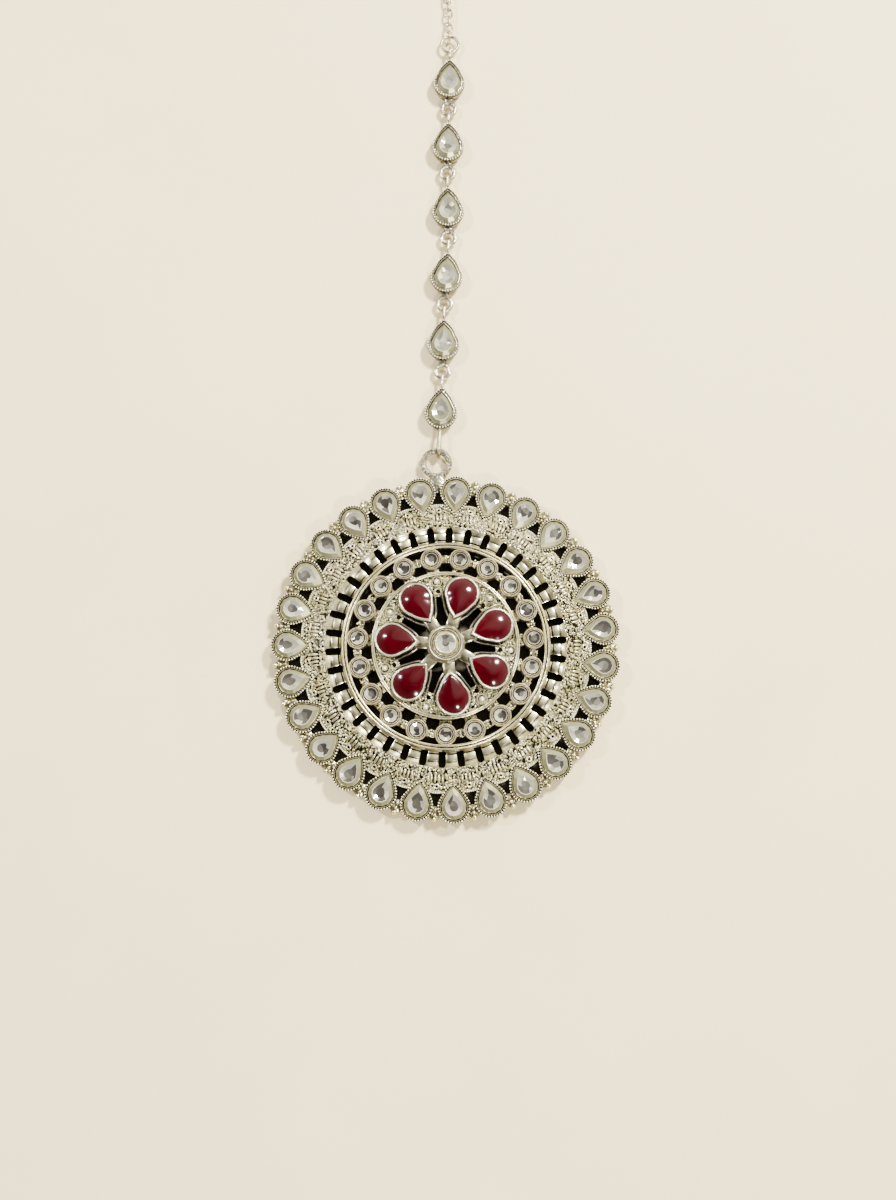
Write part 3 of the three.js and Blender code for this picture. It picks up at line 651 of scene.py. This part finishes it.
# Ring of small round stones. 19 cups stand between the collars on granulated necks, each tied to
# its neighbours, with open corners between them. A double lip holds each clear stone.
ROUND_COUNT = 19
ROUND_FIRST = 12.4
ROUND_CENTRE = 13.62
ROUND_RADIUS = 1.7
NECK_LOW = 1.6
NECK_HIGH = 2.9
BETWEEN_ROUNDS = ROUND_FIRST + 180 / ROUND_COUNT


def circle(radius, steps):
    """Corners of a circle in XY."""
    a = np.linspace(0, 2 * math.pi, steps, endpoint=False)
    return radius * np.c_[np.cos(a), np.sin(a)]


def slab(width, length, low, high, edge):
    """A block on XY's origin from low to high, its top edges rounded off."""
    outline = np.array([[-1, -1], [1, -1], [1, 1], [-1, 1]]) * [width / 2, length / 2]
    reach = min(width, length) / 2
    rows = [(1, low, 0.8), (1, high - edge, 0.5), (1 - 0.4 * edge / reach, high - 0.3 * edge, 0.4)]
    return loft(outline, rows + [(1 - edge / reach, high, 0.4)])


round_rows = [
    (1.0, 1.0, 0.8),
    (0.1, 1.0, 0.8),
    (0.0, 1.15, 0.8),
    (0.0, 2.6, 0.5),
    (0.0, 3.3, 0.5),
    (0.04, 3.7, 0.0),
    (0.14, 3.8, 0.0),
    (0.24, 3.7, 0.0),
    (0.28, 3.4, 1.0),
    (0.35, 3.4, 1.0),
    (0.38, 3.75, 0.0),
    (0.44, 3.83, 0.0),
    (0.5, 3.74, 0.2),
    (0.53, 3.4, 1.0),
    (0.57, 3.3, 1.0),
]
round_places = round_pendant(ROUND_COUNT, ROUND_FIRST, ROUND_CENTRE)
round_cup = cup(circle(ROUND_RADIUS, 36), ROUND_RADIUS, round_rows)
round_stone = cut_stone(circle(1.0, 10), girdle=1.12, table=1.02, core=0.5, lip=3.66, rise=0.2, low=3.3)
neck = slab(2.0, 0.95, NECK_LOW, NECK_HIGH, edge=0.2).at(move(0, -2.0, 0))
neck_grain = beads([[x, -2.0 - 0.1 * (x == 0), 2.92] for x in (-0.75, -0.37, 0, 0.37, 0.75)], 0.2)
tie = slab(1.5, 1.3, NECK_LOW, NECK_HIGH, edge=0.2)
tie_grain = beads([[0, y, 2.95] for y in (-0.45, 0, 0.45)], 0.24)
necks = joined(neck, neck_grain).at(*round_places)
ties = joined(tie, tie_grain).at(*round_pendant(ROUND_COUNT, BETWEEN_ROUNDS, ROUND_CENTRE))

# Burnished plate on the round, petal and centre cups lies between the polished plate and the beads' satin
# plate in gloss and metal.
burnished = silver_plate(
    "burnished silver plate", "#F8F0D8", "#DAD1B4", OXIDE,
    gloss=0.2, matt=0.36, grain=0.5, depth=0.02, crevice=0.15, metallic=0.88,
)
finished("round_cups", round_cup.at(*round_places), burnished, 60)
finished("round_necks_and_ties", joined(necks, ties), granulated, 60)
round_stones = round_stone.at(*round_places)
set_stones("round_stones", round_stones, ROUND_COUNT, 2, clear_stone, shade=0.9, tint=0.25)

# Inner collar. A second, thinner double wire with a groove between closes the round stones' ring
# towards the flower.
inner_profile = np.vstack(
    [
        [[11.37, BAND_BACK], [11.37, 3.3]],
        half_round(11.26, 0.11, 4.35, 0, 180),
        [[11.14, 3.95], [11.1, 3.95]],
        half_round(10.98, 0.11, 4.4, 0, 180),
        [[10.87, BAND_BACK]],
    ]
)
inner_recess = np.array([1.0, 0.7, *over_wire, 1.0, 1.0, *over_wire, 1.0])
finished("inner_collar", turned_ring(inner_profile, inner_recess, 150), polished, 60)

# Petal cups. Seven pear cups with thin bright lips lean outwards round the middle, each in a lower ledge
# of wire, their tips on necks from the centre cup. A plate strewn with grain runs from under their outer
# ends to the inner collar, with a hole and a bead in a small cup between each two petals.
PETAL_COUNT = 7
PETAL_FIRST = 20.6
PETAL_RADIUS = 2.7
PETAL_POINT = 1.6
PETAL_CENTRE = 8.32
PETAL_TOP = 5.2
PETAL_TILT = 6
PETAL_BULGE = 0.28
BETWEEN_PETALS = PETAL_FIRST + 180 / PETAL_COUNT
petal_places = round_pendant(PETAL_COUNT, PETAL_FIRST, PETAL_CENTRE, PETAL_TOP, PETAL_TILT)
petal_rows = [
    (2.5, -2.6, 1.0),
    (0.1, -2.6, 1.0),
    (0.0, -2.5, 1.0),
    (0.0, -1.2, 1.0),
    (0.0, -0.6, 0.9),
    (0.03, -0.3, 0.8),
    (0.1, -0.14, 0.1),
    (0.15, -0.04, 0.0),
    (0.24, 0.0, 0.0),
    (0.33, -0.03, 0.0),
    (0.39, -0.12, 0.1),
    (0.42, -0.3, 0.8),
    (0.44, -1.0, 1.0),
]
ledge_rows = [
    (2.5, -2.5, 1.0),
    (-0.4, -2.5, 1.0),
    (-0.42, -1.6, 0.9),
    (-0.38, -1.32, 0.5),
    (-0.28, -1.22, 0.35),
    (-0.16, -1.26, 0.6),
    (-0.06, -1.4, 1.0),
    (0.3, -1.5, 1.0),
]
petal_outline = pear(PETAL_RADIUS, PETAL_POINT, 44, 12, PETAL_BULGE)
petal_wall = cup(petal_outline, PETAL_RADIUS, petal_rows)
petal_ledge = cup(petal_outline, PETAL_RADIUS, ledge_rows)
petal_cups = joined(petal_wall, petal_ledge).at(*petal_places)
finished("petal_cups", petal_cups, burnished, 60)

HOLE_RING = 8.42
BEAD_RING = 9.97
SPOT_COUNT = 2600
petal_necks = slab(2.0, 2.6, low=3.4, high=4.9, edge=0.3).at(*round_pendant(PETAL_COUNT, PETAL_FIRST, 3.6))
platform_profile = np.array([[10.9, 2.9], [10.9, 3.8], [9.0, 3.78], [7.7, 3.76], [7.57, 3.6], [7.57, 2.9]])
platform_recess = np.array([1.0, 0.5, 0.45, 0.4, 0.6, 1.0])
platform = turned_ring(platform_profile, platform_recess, 140)
random = np.random.default_rng(7)
spot_angle = random.uniform(0, 2 * math.pi, SPOT_COUNT)
spot_radius = np.sqrt(random.uniform(7.7**2, 10.75**2, SPOT_COUNT))
spot_size = random.uniform(0.09, 0.17, SPOT_COUNT)
nearest = (spot_angle * PETAL_COUNT / (2 * math.pi) - BETWEEN_PETALS * PETAL_COUNT / 360 + 0.5) % 1 - 0.5
beside = nearest * 2 * math.pi / PETAL_COUNT * spot_radius
off_hole = np.hypot(beside, spot_radius - HOLE_RING) > 0.5
off_bead = np.hypot(beside, spot_radius - BEAD_RING) > 0.95
kept = off_hole & off_bead & (np.abs(beside) < 0.35 + (spot_radius - 7.4) * 1.15)
spots = on_pendant(spot_radius, spot_angle, 3.8 + 0.2 * spot_size)
platform_grain = beads(spots[kept], spot_size[kept])
hole_rows = [(1.0, 2.9, 1.0), (1.0, 3.84, 0.3), (0.82, 3.88, 0.1), (0.72, 3.8, 1.0), (0.1, 3.79, 1.0)]
holes = loft(circle(0.46, 14), hole_rows).at(*round_pendant(PETAL_COUNT, BETWEEN_PETALS, HOLE_RING))
bead_cup_rows = [
    (1.0, 3.0, 0.8),
    (1.0, 4.0, 0.2),
    (0.9, 4.12, 0.0),
    (0.78, 3.98, 0.6),
    (0.72, 3.7, 1.0),
    (0.1, 3.7, 1.0),
]
cupped_bead = joined(loft(circle(0.85, 20), bead_cup_rows), beads([[0, 0, 3.98]], 0.46))
cupped_beads = cupped_bead.at(*round_pendant(PETAL_COUNT, BETWEEN_PETALS, BEAD_RING))
platforms = joined(platform, platform_grain, holes)
finished("petal_platforms", platforms, granulated, 50)
finished("petal_necks", petal_necks, polished, 50)
finished("petal_platform_beads", cupped_beads, satin, 50)

# Petal stones. Seven red glass pear cabochons fill the petal cups, low polished domes with their crowns
# 0.4 mm above the lips.


def cabochon(radius, low, rise):
    """A domed stone on the petals' pear.

    At a share of its outline its height is the rise times 1 less the share squared.
    """
    share = np.linspace(1.0, 0.02, 16)
    rows = [(1.0, low, 1.0), *np.c_[share, rise * (1 - share**2), np.zeros(16)]]
    return loft(pear(radius, PETAL_POINT, 44, 12, PETAL_BULGE), rows)


# Ruby glass: saturated deep red right through, in faint streaks 4 mm wide, with a hard polish that
# takes sharp highlights.
ruby, tree = new_material("polished ruby glass")
place = node(tree, "ShaderNodeTexCoord", {}).outputs["Object"]
streaks = node(tree, "ShaderNodeTexNoise", {"Vector": place, "Scale": 260.0, "Detail": 2.0}).outputs["Fac"]
red = node(
    tree,
    "ShaderNodeMix",
    {0: streaks, 6: linear("#3E000A"), 7: linear("#240003")},
    data_type="RGBA",
)
wave = node(tree, "ShaderNodeBump", {"Height": streaks, "Distance": 0.00008})
shader = node(
    tree,
    "ShaderNodeBsdfPrincipled",
    {
        "Base Color": red.outputs[2],
        "Roughness": 0.1,
        "IOR": 1.5,
        "Coat Weight": 0.05,
        "Coat Roughness": 0.03,
        "Normal": wave.outputs["Normal"],
    },
)
node(tree, "ShaderNodeOutputMaterial", {"Surface": shader.outputs["BSDF"]})
petal_stone = cabochon(PETAL_RADIUS - 0.42, low=-0.9, rise=0.5).at(move(0, 0, -0.12))
petal_stones = finished("petal_stones", petal_stone.at(*petal_places), ruby, 80)
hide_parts(*[f"petal_stone_{i + 1}" for i in range(PETAL_COUNT)])

# Centre. A tall round cup on a wider foot holds a clear brilliant of 4 mm in a double lip,
# about a millimetre above the crowns of the red stones around it.
CENTRE_RADIUS = 2.65
FOOT_RADIUS = 3.0
foot_rows = [(1.0, 0.0, 1.0), (1.0, 4.6, 0.9), (0.98, 5.0, 0.5), (0.93, 5.2, 0.2), (0.85, 5.15, 0.8)]
centre_foot = loft(circle(FOOT_RADIUS, 64), foot_rows)
centre_rows = [
    (0.0, 4.8, 0.6),
    (0.0, 5.9, 0.5),
    (0.03, 6.35, 0.0),
    (0.13, 6.5, 0.0),
    (0.27, 6.42, 0.0),
    (0.31, 6.15, 1.0),
    (0.4, 6.15, 1.0),
    (0.44, 6.38, 0.0),
    (0.52, 6.44, 0.0),
    (0.58, 6.35, 0.3),
    (0.6, 6.0, 1.0),
]
second_lip = wire_ring(1.52, 0.12, 56, 10).at(move(0, 0, 6.72))
centre_cup = joined(cup(circle(CENTRE_RADIUS, 64), CENTRE_RADIUS, centre_rows), second_lip)
finished("centre_cup", joined(centre_foot, centre_cup), burnished, 50)
brilliant = cut_stone(circle(1.0, 12), girdle=2.0, table=1.42, core=0.6, lip=6.35, rise=0.4, low=5.2)
centre_stone = set_stones("centre_brilliant", brilliant, 1, 9, clear_stone, shade=0.85, tint=0.45)
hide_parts("centre_stone")

# Bail. A ring of round wire, rough with grain, soldered by a foot to the rim between two cups.
# Grain covers its upper half in six rows, each a little off its place.
BAIL_CENTRE = 29.467
BAIL_RADIUS = 2.06
BAIL_HEIGHT = 1.2
GRAIN_REACH = 0.42  # from the middle of the wire to the grains' middles
GRAIN_ROWS = 6
GRAIN_STEPS = 44
count = GRAIN_ROWS * GRAIN_STEPS
random = np.random.default_rng(3)
steps = np.linspace(0, 2 * math.pi, GRAIN_STEPS, endpoint=False)
around = np.repeat(steps, GRAIN_ROWS) + random.uniform(-0.05, 0.05, count)
over_rows = np.radians(np.linspace(0, 180, GRAIN_ROWS))
over = np.tile(over_rows, GRAIN_STEPS) + random.uniform(-0.15, 0.15, count)
reach = BAIL_RADIUS + GRAIN_REACH * np.cos(over)
bail_spots = np.c_[
    reach * np.cos(around),
    BAIL_CENTRE + reach * np.sin(around),
    BAIL_HEIGHT + GRAIN_REACH * np.sin(over),
]
bail_grain = beads(bail_spots, random.uniform(0.1, 0.15, count))
bail_ring = wire_ring(BAIL_RADIUS, 0.46, 72, 16).at(move(0, BAIL_CENTRE, BAIL_HEIGHT))
# Painted shade: the whole ring is darkened partway, 0.45, towards the hollow colour.
bail_ring.recess[:] = 0.45
bail_foot = slab(2.4, 2.86, low=0.0, high=1.68, edge=0.4).at(move(0, 25.98, 0))
bail = joined(bail_ring, bail_grain, bail_foot).at(turn("z", PENDANT_TURN))

# Plate on the bail, links and chain is greyer and duller: a darker copy of the plate, painted shade for
# their darker reflections.
worn = silver_plate(
    "worn silver plate", "#CFC9B4", "#9A947E", "#0C0904",
    gloss=0.2, matt=0.34, grain=0.4, depth=0.05, crevice=0.2,
)
finished("bail", bail, worn, 60)

# Link settings. Six pear cups like the rim's, a little larger, each with a standing wire eye at its
# tip and a flat ring at its round end. The lowest has a long wire hanger instead, round the bail.
LINK_LEANS = [2.5, 1.5, 3.5, -1.0, 1.0, 1.0]  # degrees clockwise, from the lowest link up
LINK_RADIUS = 2.62
LINK_POINT = 1.68
LINK_BULGE = 0.3
LINK_MILGRAIN = 0.16  # radius of the beads along a link's lip
EYE_HEIGHT = 1.05
EYE_LENGTH = 1.65
RING_RADIUS = 1.1
RING_NECK = 0.6
HANGER_LENGTH = 3.6
HANGER_PULL = 15  # degrees to the right of the bail's top, where the hanger rests in it
link_tip = LINK_RADIUS * LINK_POINT
eye_end = link_tip + EYE_LENGTH
ring_end = -(LINK_RADIUS + RING_NECK + 2 * RING_RADIUS)
hanger_end = -(LINK_RADIUS + HANGER_LENGTH)
link_places = []
bail_pull = math.radians(PENDANT_TURN - HANGER_PULL)
bail_middle = (turn("z", PENDANT_TURN) @ np.array([0, BAIL_CENTRE, 0, 1]))[:2]
pivot = bail_middle + BAIL_RADIUS * np.array([-math.sin(bail_pull), math.cos(bail_pull)])
for i, degrees in enumerate(LINK_LEANS):
    seat = move(*pivot, 0) @ turn("z", -degrees) @ move(0, -(hanger_end if i == 0 else ring_end), 0)
    link_places.append(seat)
    pivot = (seat @ np.array([0, eye_end, 0, 1]))[:2]

link_rows = [
    (2.2, 0.0, 0.6),
    (0.45, 0.0, 0.9),
    (0.34, 0.12, 0.9),
    (0.2, 0.8, 0.6),
    (0.02, 1.4, 0.6),
    (0.0, 1.8, 0.7),
    (0.05, 1.92, 0.95),
    (0.36, 1.92, 1.0),
    (0.39, 2.06, 0.1),
    (0.44, 2.12, 0.0),
    (0.51, 2.12, 0.0),
    (0.54, 1.95, 0.6),
    (0.55, 1.6, 0.9),
    (0.7, 1.1, 0.8),
]
upwards = turn("z", 180)
link_lip = spaced(pear(LINK_RADIUS - 0.17, LINK_POINT, 60, 16, LINK_BULGE), 0.45)
link_beading = beads(np.c_[link_lip, np.full(len(link_lip), 2.1)], LINK_MILGRAIN)
link_pear = pear(LINK_RADIUS, LINK_POINT, bulge=LINK_BULGE)
link_cup = cup(link_pear, LINK_RADIUS, link_rows).at(upwards)


def standing_eye(radius, wire, root, end):
    """A wire eye on edge from a root on the cup to the middle of its far bend."""
    straight = abs(end - root) - radius
    middle = end - math.copysign(straight / 2, end)
    return wire_ring(radius, wire, 36, 12, straight).at(move(0, middle, EYE_HEIGHT) @ turn("y", 90))


tip_eye = standing_eye(0.78, 0.24, link_tip - 0.15, eye_end)
hanger = standing_eye(0.92, 0.28, -LINK_RADIUS + 0.15, hanger_end).at(move(0, 0, 0.15))
flat_ring = wire_ring(RING_RADIUS, 0.36, 40, 14).at(move(0, ring_end + RING_RADIUS, EYE_HEIGHT))
ring_neck = slab(1.4, 1.1, low=0.72, high=1.4, edge=0.25).at(move(0, -LINK_RADIUS - 0.05, 0))
ringed = joined(link_cup, tip_eye, flat_ring, ring_neck)
hung = joined(link_cup, tip_eye, hanger)
for i, seat in enumerate(link_places):
    setting = finished(f"link_{i + 1}", (hung if i == 0 else ringed).at(seat), worn, 60)
    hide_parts(f"link_setting_{i + 1}")

beaded = link_beading.at(*[seat @ upwards for seat in link_places])
finished("link_beading", beaded, satin, 80)

# Link stones. Six clear pears, cut and foiled as the rim's and a little larger. The painted reflections
# in the facets of their backs are paler.
LINK_COUNT = len(LINK_LEANS)
link_cut = pear(1.0, LINK_POINT, arc=9, flank=2, bulge=0.13)
link_stone = cut_stone(link_cut, girdle=1.99, table=1.45, core=0.7, lip=2.06, rise=0.3, low=1.05)
link_stones = link_stone.at(*[seat @ upwards for seat in link_places])
link_set = set_stones("link_stones", link_stones, LINK_COUNT, 5, clear_stone, shade=0.62, tint=0.0)
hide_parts(*[f"link_stone_{i + 1}" for i in range(LINK_COUNT)])

# Jump ring, fine chain and hook. A round wire ring joins the last link to a cable chain of thin oval
# links, flat and on edge by turns, which ends in a hair hook of plain bent wire.
JUMP_RADIUS = 1.44
jump_place = move(*pivot, 0)
jump = wire_ring(JUMP_RADIUS, 0.25, 56, 14).at(jump_place @ move(0, JUMP_RADIUS, EYE_HEIGHT))
jump_ring = finished("round_jump_ring", jump, worn, 80)
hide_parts("jump_ring")

CHAIN_COUNT = 6
CHAIN_PITCH = 1.35
CHAIN_RADIUS = 0.52
CHAIN_WIRE = 0.17
CHAIN_PLAY = 0.12  # air between two linked wires
CHAIN_HOLD = 0.36  # how far two linked ovals overlap
END_RADIUS = 0.76
link_straight = CHAIN_PITCH - CHAIN_PLAY + CHAIN_HOLD - 2 * CHAIN_RADIUS
chain_half = link_straight / 2 + CHAIN_RADIUS
chain_start = jump_place @ move(0, 2 * JUMP_RADIUS, 0) @ turn("z", 2)
chain_place = chain_start @ move(0, chain_half - 0.56, EYE_HEIGHT)
oval = wire_ring(CHAIN_RADIUS, CHAIN_WIRE, 28, 10, link_straight)
oval_places = [move(0, CHAIN_PITCH * i, 0) @ turn("y", 90 if i % 2 == 0 else 0) for i in range(CHAIN_COUNT)]
end_middle = CHAIN_PITCH * (CHAIN_COUNT - 1) + chain_half - CHAIN_HOLD + CHAIN_PLAY + END_RADIUS
end_oval = wire_ring(END_RADIUS, CHAIN_WIRE, 36, 10).at(move(0, end_middle, 0) @ turn("y", 90))
chain_links = joined(oval.at(*oval_places), end_oval).at(chain_place)
chain = finished("cable_chain", chain_links, worn, 80)
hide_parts("fine_chain")


def wire_path(path, wire, sides=12):
    """A round wire along a path in XY: each ring of its skin is square to the way between its neighbours.

    Both ends close in a point.
    """
    way = np.gradient(path, axis=0)
    way /= np.linalg.norm(way, axis=1)[:, None]
    across = np.c_[way[:, 1], -way[:, 0], np.zeros(len(path))]
    a = -np.linspace(0, 2 * math.pi, sides, endpoint=False)[None, :, None]
    swell = np.full(len(path), wire)
    swell[[0, -1]] = 0.0001
    swell[[1, -2]] = wire * 0.8
    ring = np.cos(a) * across[:, None] + np.sin(a) * [0, 0, 1]
    return grid(path[:, None] + swell[:, None, None] * ring)


HOOK_WIRE = 0.38
HOOK_EYE = 1.1
CROOK = 1.9  # radius of the hook's bend
SHANK_END = 9.1
bend = np.linspace(0, math.pi, 24)
shank = np.c_[np.zeros(20), np.linspace(1.0, SHANK_END, 20), np.zeros(20)]
crook = np.c_[CROOK * (1 - np.cos(bend)), SHANK_END + CROOK * np.sin(bend), np.zeros(24)]
back = np.c_[np.full(10, 2 * CROOK), np.linspace(SHANK_END, 5.6, 10), np.zeros(10)]
start, end = [[0, 0.98, 0]], [[2 * CROOK, 5.53, 0], [2 * CROOK, 5.5, 0]]
hook_wire = wire_path(np.vstack([start, shank, crook[1:], back[1:], end]), HOOK_WIRE)
hook_place = chain_place @ move(0, end_middle + END_RADIUS - 0.7 + HOOK_EYE, 0) @ turn("x", -3.2)
hook = joined(wire_ring(HOOK_EYE, HOOK_WIRE, 44, 14), hook_wire).at(hook_place)
hook_piece = finished("bent_wire_hook", hook, polished, 80)
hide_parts("hair_hook")

# Table, light and camera. A pale cream table top with a painted shade under the pendant, which shows dark
# through its openings. A window up and to the right throws its shadows down to the left, and two small
# lamps add points of light. The camera looks down, a little from the front.
TABLE_HALF = 1.5
table_corners = TABLE_HALF * np.array([[-1, -1, 0], [1, -1, 0], [1, 1, 0], [-1, 1, 0]])
table_mesh = bpy.data.meshes.new("table_top")
table_mesh.from_pydata(table_corners.tolist(), [], [(0, 1, 2, 3)])
table = bpy.data.objects.new("table_top", table_mesh)
bpy.context.scene.collection.objects.link(table)

# Matt cream: soft flecks 33 mm wide keep it from one flat tone, and a painted shade darkens it under the
# pendant.
paper, tree = new_material("matt cream table top")
place = node(tree, "ShaderNodeTexCoord", {}).outputs["Object"]
fleck = node(tree, "ShaderNodeTexNoise", {"Vector": place, "Scale": 30.0, "Detail": 3.0}).outputs["Fac"]
cream = node(
    tree,
    "ShaderNodeMix",
    {0: fleck, 6: linear("#EEDDB0"), 7: linear("#E5D2A2")},
    data_type="RGBA",
)
from_pendant = node(tree, "ShaderNodeVectorMath", {0: place}, operation="LENGTH").outputs["Value"]
# Painted shade: near black within 24.5 mm of the pendant's middle, fading to none at 26.3 mm.
shade = node(
    tree,
    "ShaderNodeMapRange",
    {"Value": from_pendant, "From Min": 0.0245, "From Max": 0.0263, "To Min": 0.95, "To Max": 0.0},
)
under = node(
    tree,
    "ShaderNodeMix",
    {0: shade.outputs["Result"], 6: cream.outputs[2], 7: linear("#1A140C")},
    data_type="RGBA",
)
shader = node(tree, "ShaderNodeBsdfPrincipled", {"Base Color": under.outputs[2], "Roughness": 0.75})
node(tree, "ShaderNodeOutputMaterial", {"Surface": shader.outputs["BSDF"]})
table_mesh.materials.append(paper)


def soft_light(name, spot, target, size, watts, colour):
    """A square area light at a spot, aimed at a target, all in metres.

    It tips by the angle whose tangent is its distance along the table over its height, then turns.
    """
    light = bpy.data.lights.new(name, "AREA")
    light.size, light.energy, light.color = size, watts, linear(colour)[:3]
    lamp = bpy.data.objects.new(name, light)
    bpy.context.scene.collection.objects.link(lamp)
    away = np.array(spot) - np.array(target)
    lamp.location = spot
    tip = math.atan2(math.hypot(away[0], away[1]), away[2])
    lamp.rotation_euler = (tip, 0, math.atan2(away[0], -away[1]))


soft_light("window", (0.22, 0.26, 0.38), (0, 0.02, 0), 0.06, 8.5, "#FFFCF2")
soft_light("side_lamp", (-0.3, 0.16, 0.38), (0, 0.02, 0), 0.02, 2.8, "#FFFFFF")
soft_light("front_lamp", (0.14, -0.3, 0.38), (0, 0.02, 0), 0.02, 2.8, "#FFFAF0")

# The room is brightest at the upper right and dark at the lower left.
# Overhead it is dark but for a pale blind.
world = bpy.data.worlds.new("room")
world.use_nodes = True
bpy.context.scene.world = world
room = world.node_tree
room.nodes.clear()
way = node(room, "ShaderNodeTexCoord", {}).outputs["Generated"]
upward = node(room, "ShaderNodeSeparateXYZ", {"Vector": way}).outputs["Z"]
overhead = node(
    room,
    "ShaderNodeMapRange",
    {"Value": upward, "From Min": 0.5, "From Max": 0.86, "To Min": 1.0, "To Max": 0.05},
)
side = node(room, "ShaderNodeVectorMath", {0: way, 1: (0.64, 0.77, 0.0)}, operation="DOT_PRODUCT")
window_side = node(
    room,
    "ShaderNodeMapRange",
    {"Value": side.outputs["Value"], "From Min": -0.6, "From Max": 0.6, "To Min": 0.45, "To Max": 1.6},
)
walls = node(
    room,
    "ShaderNodeMath",
    {0: overhead.outputs["Result"], 1: window_side.outputs["Result"]},
    operation="MULTIPLY",
)
aim = node(room, "ShaderNodeVectorMath", {0: way, 1: (0.24, 0.32, 0.917)}, operation="DOT_PRODUCT")
blind = node(
    room,
    "ShaderNodeMapRange",
    {"Value": aim.outputs["Value"], "From Min": 0.84, "From Max": 1.0, "To Max": 0.9},
    interpolation_type="SMOOTHSTEP",
)
glow = node(
    room,
    "ShaderNodeMath",
    {0: walls.outputs["Value"], 1: blind.outputs["Result"]},
    operation="ADD",
)
sky = node(room, "ShaderNodeBackground", {"Color": linear("#FBF6E4"), "Strength": glow.outputs["Value"]})
node(room, "ShaderNodeOutputWorld", {"Surface": sky.outputs["Background"]})

camera_data = bpy.data.cameras.new("camera")
camera_data.lens = 36
camera_data.sensor_width = 36
camera_data.clip_start = 0.01
camera = bpy.data.objects.new("camera", camera_data)
bpy.context.scene.collection.objects.link(camera)
CAMERA_TIP = 9  # degrees from straight down
camera.location = (0.000353, -0.021957, 0.186742)
camera.rotation_euler = (math.radians(CAMERA_TIP), 0, 0)
bpy.context.scene.camera = camera
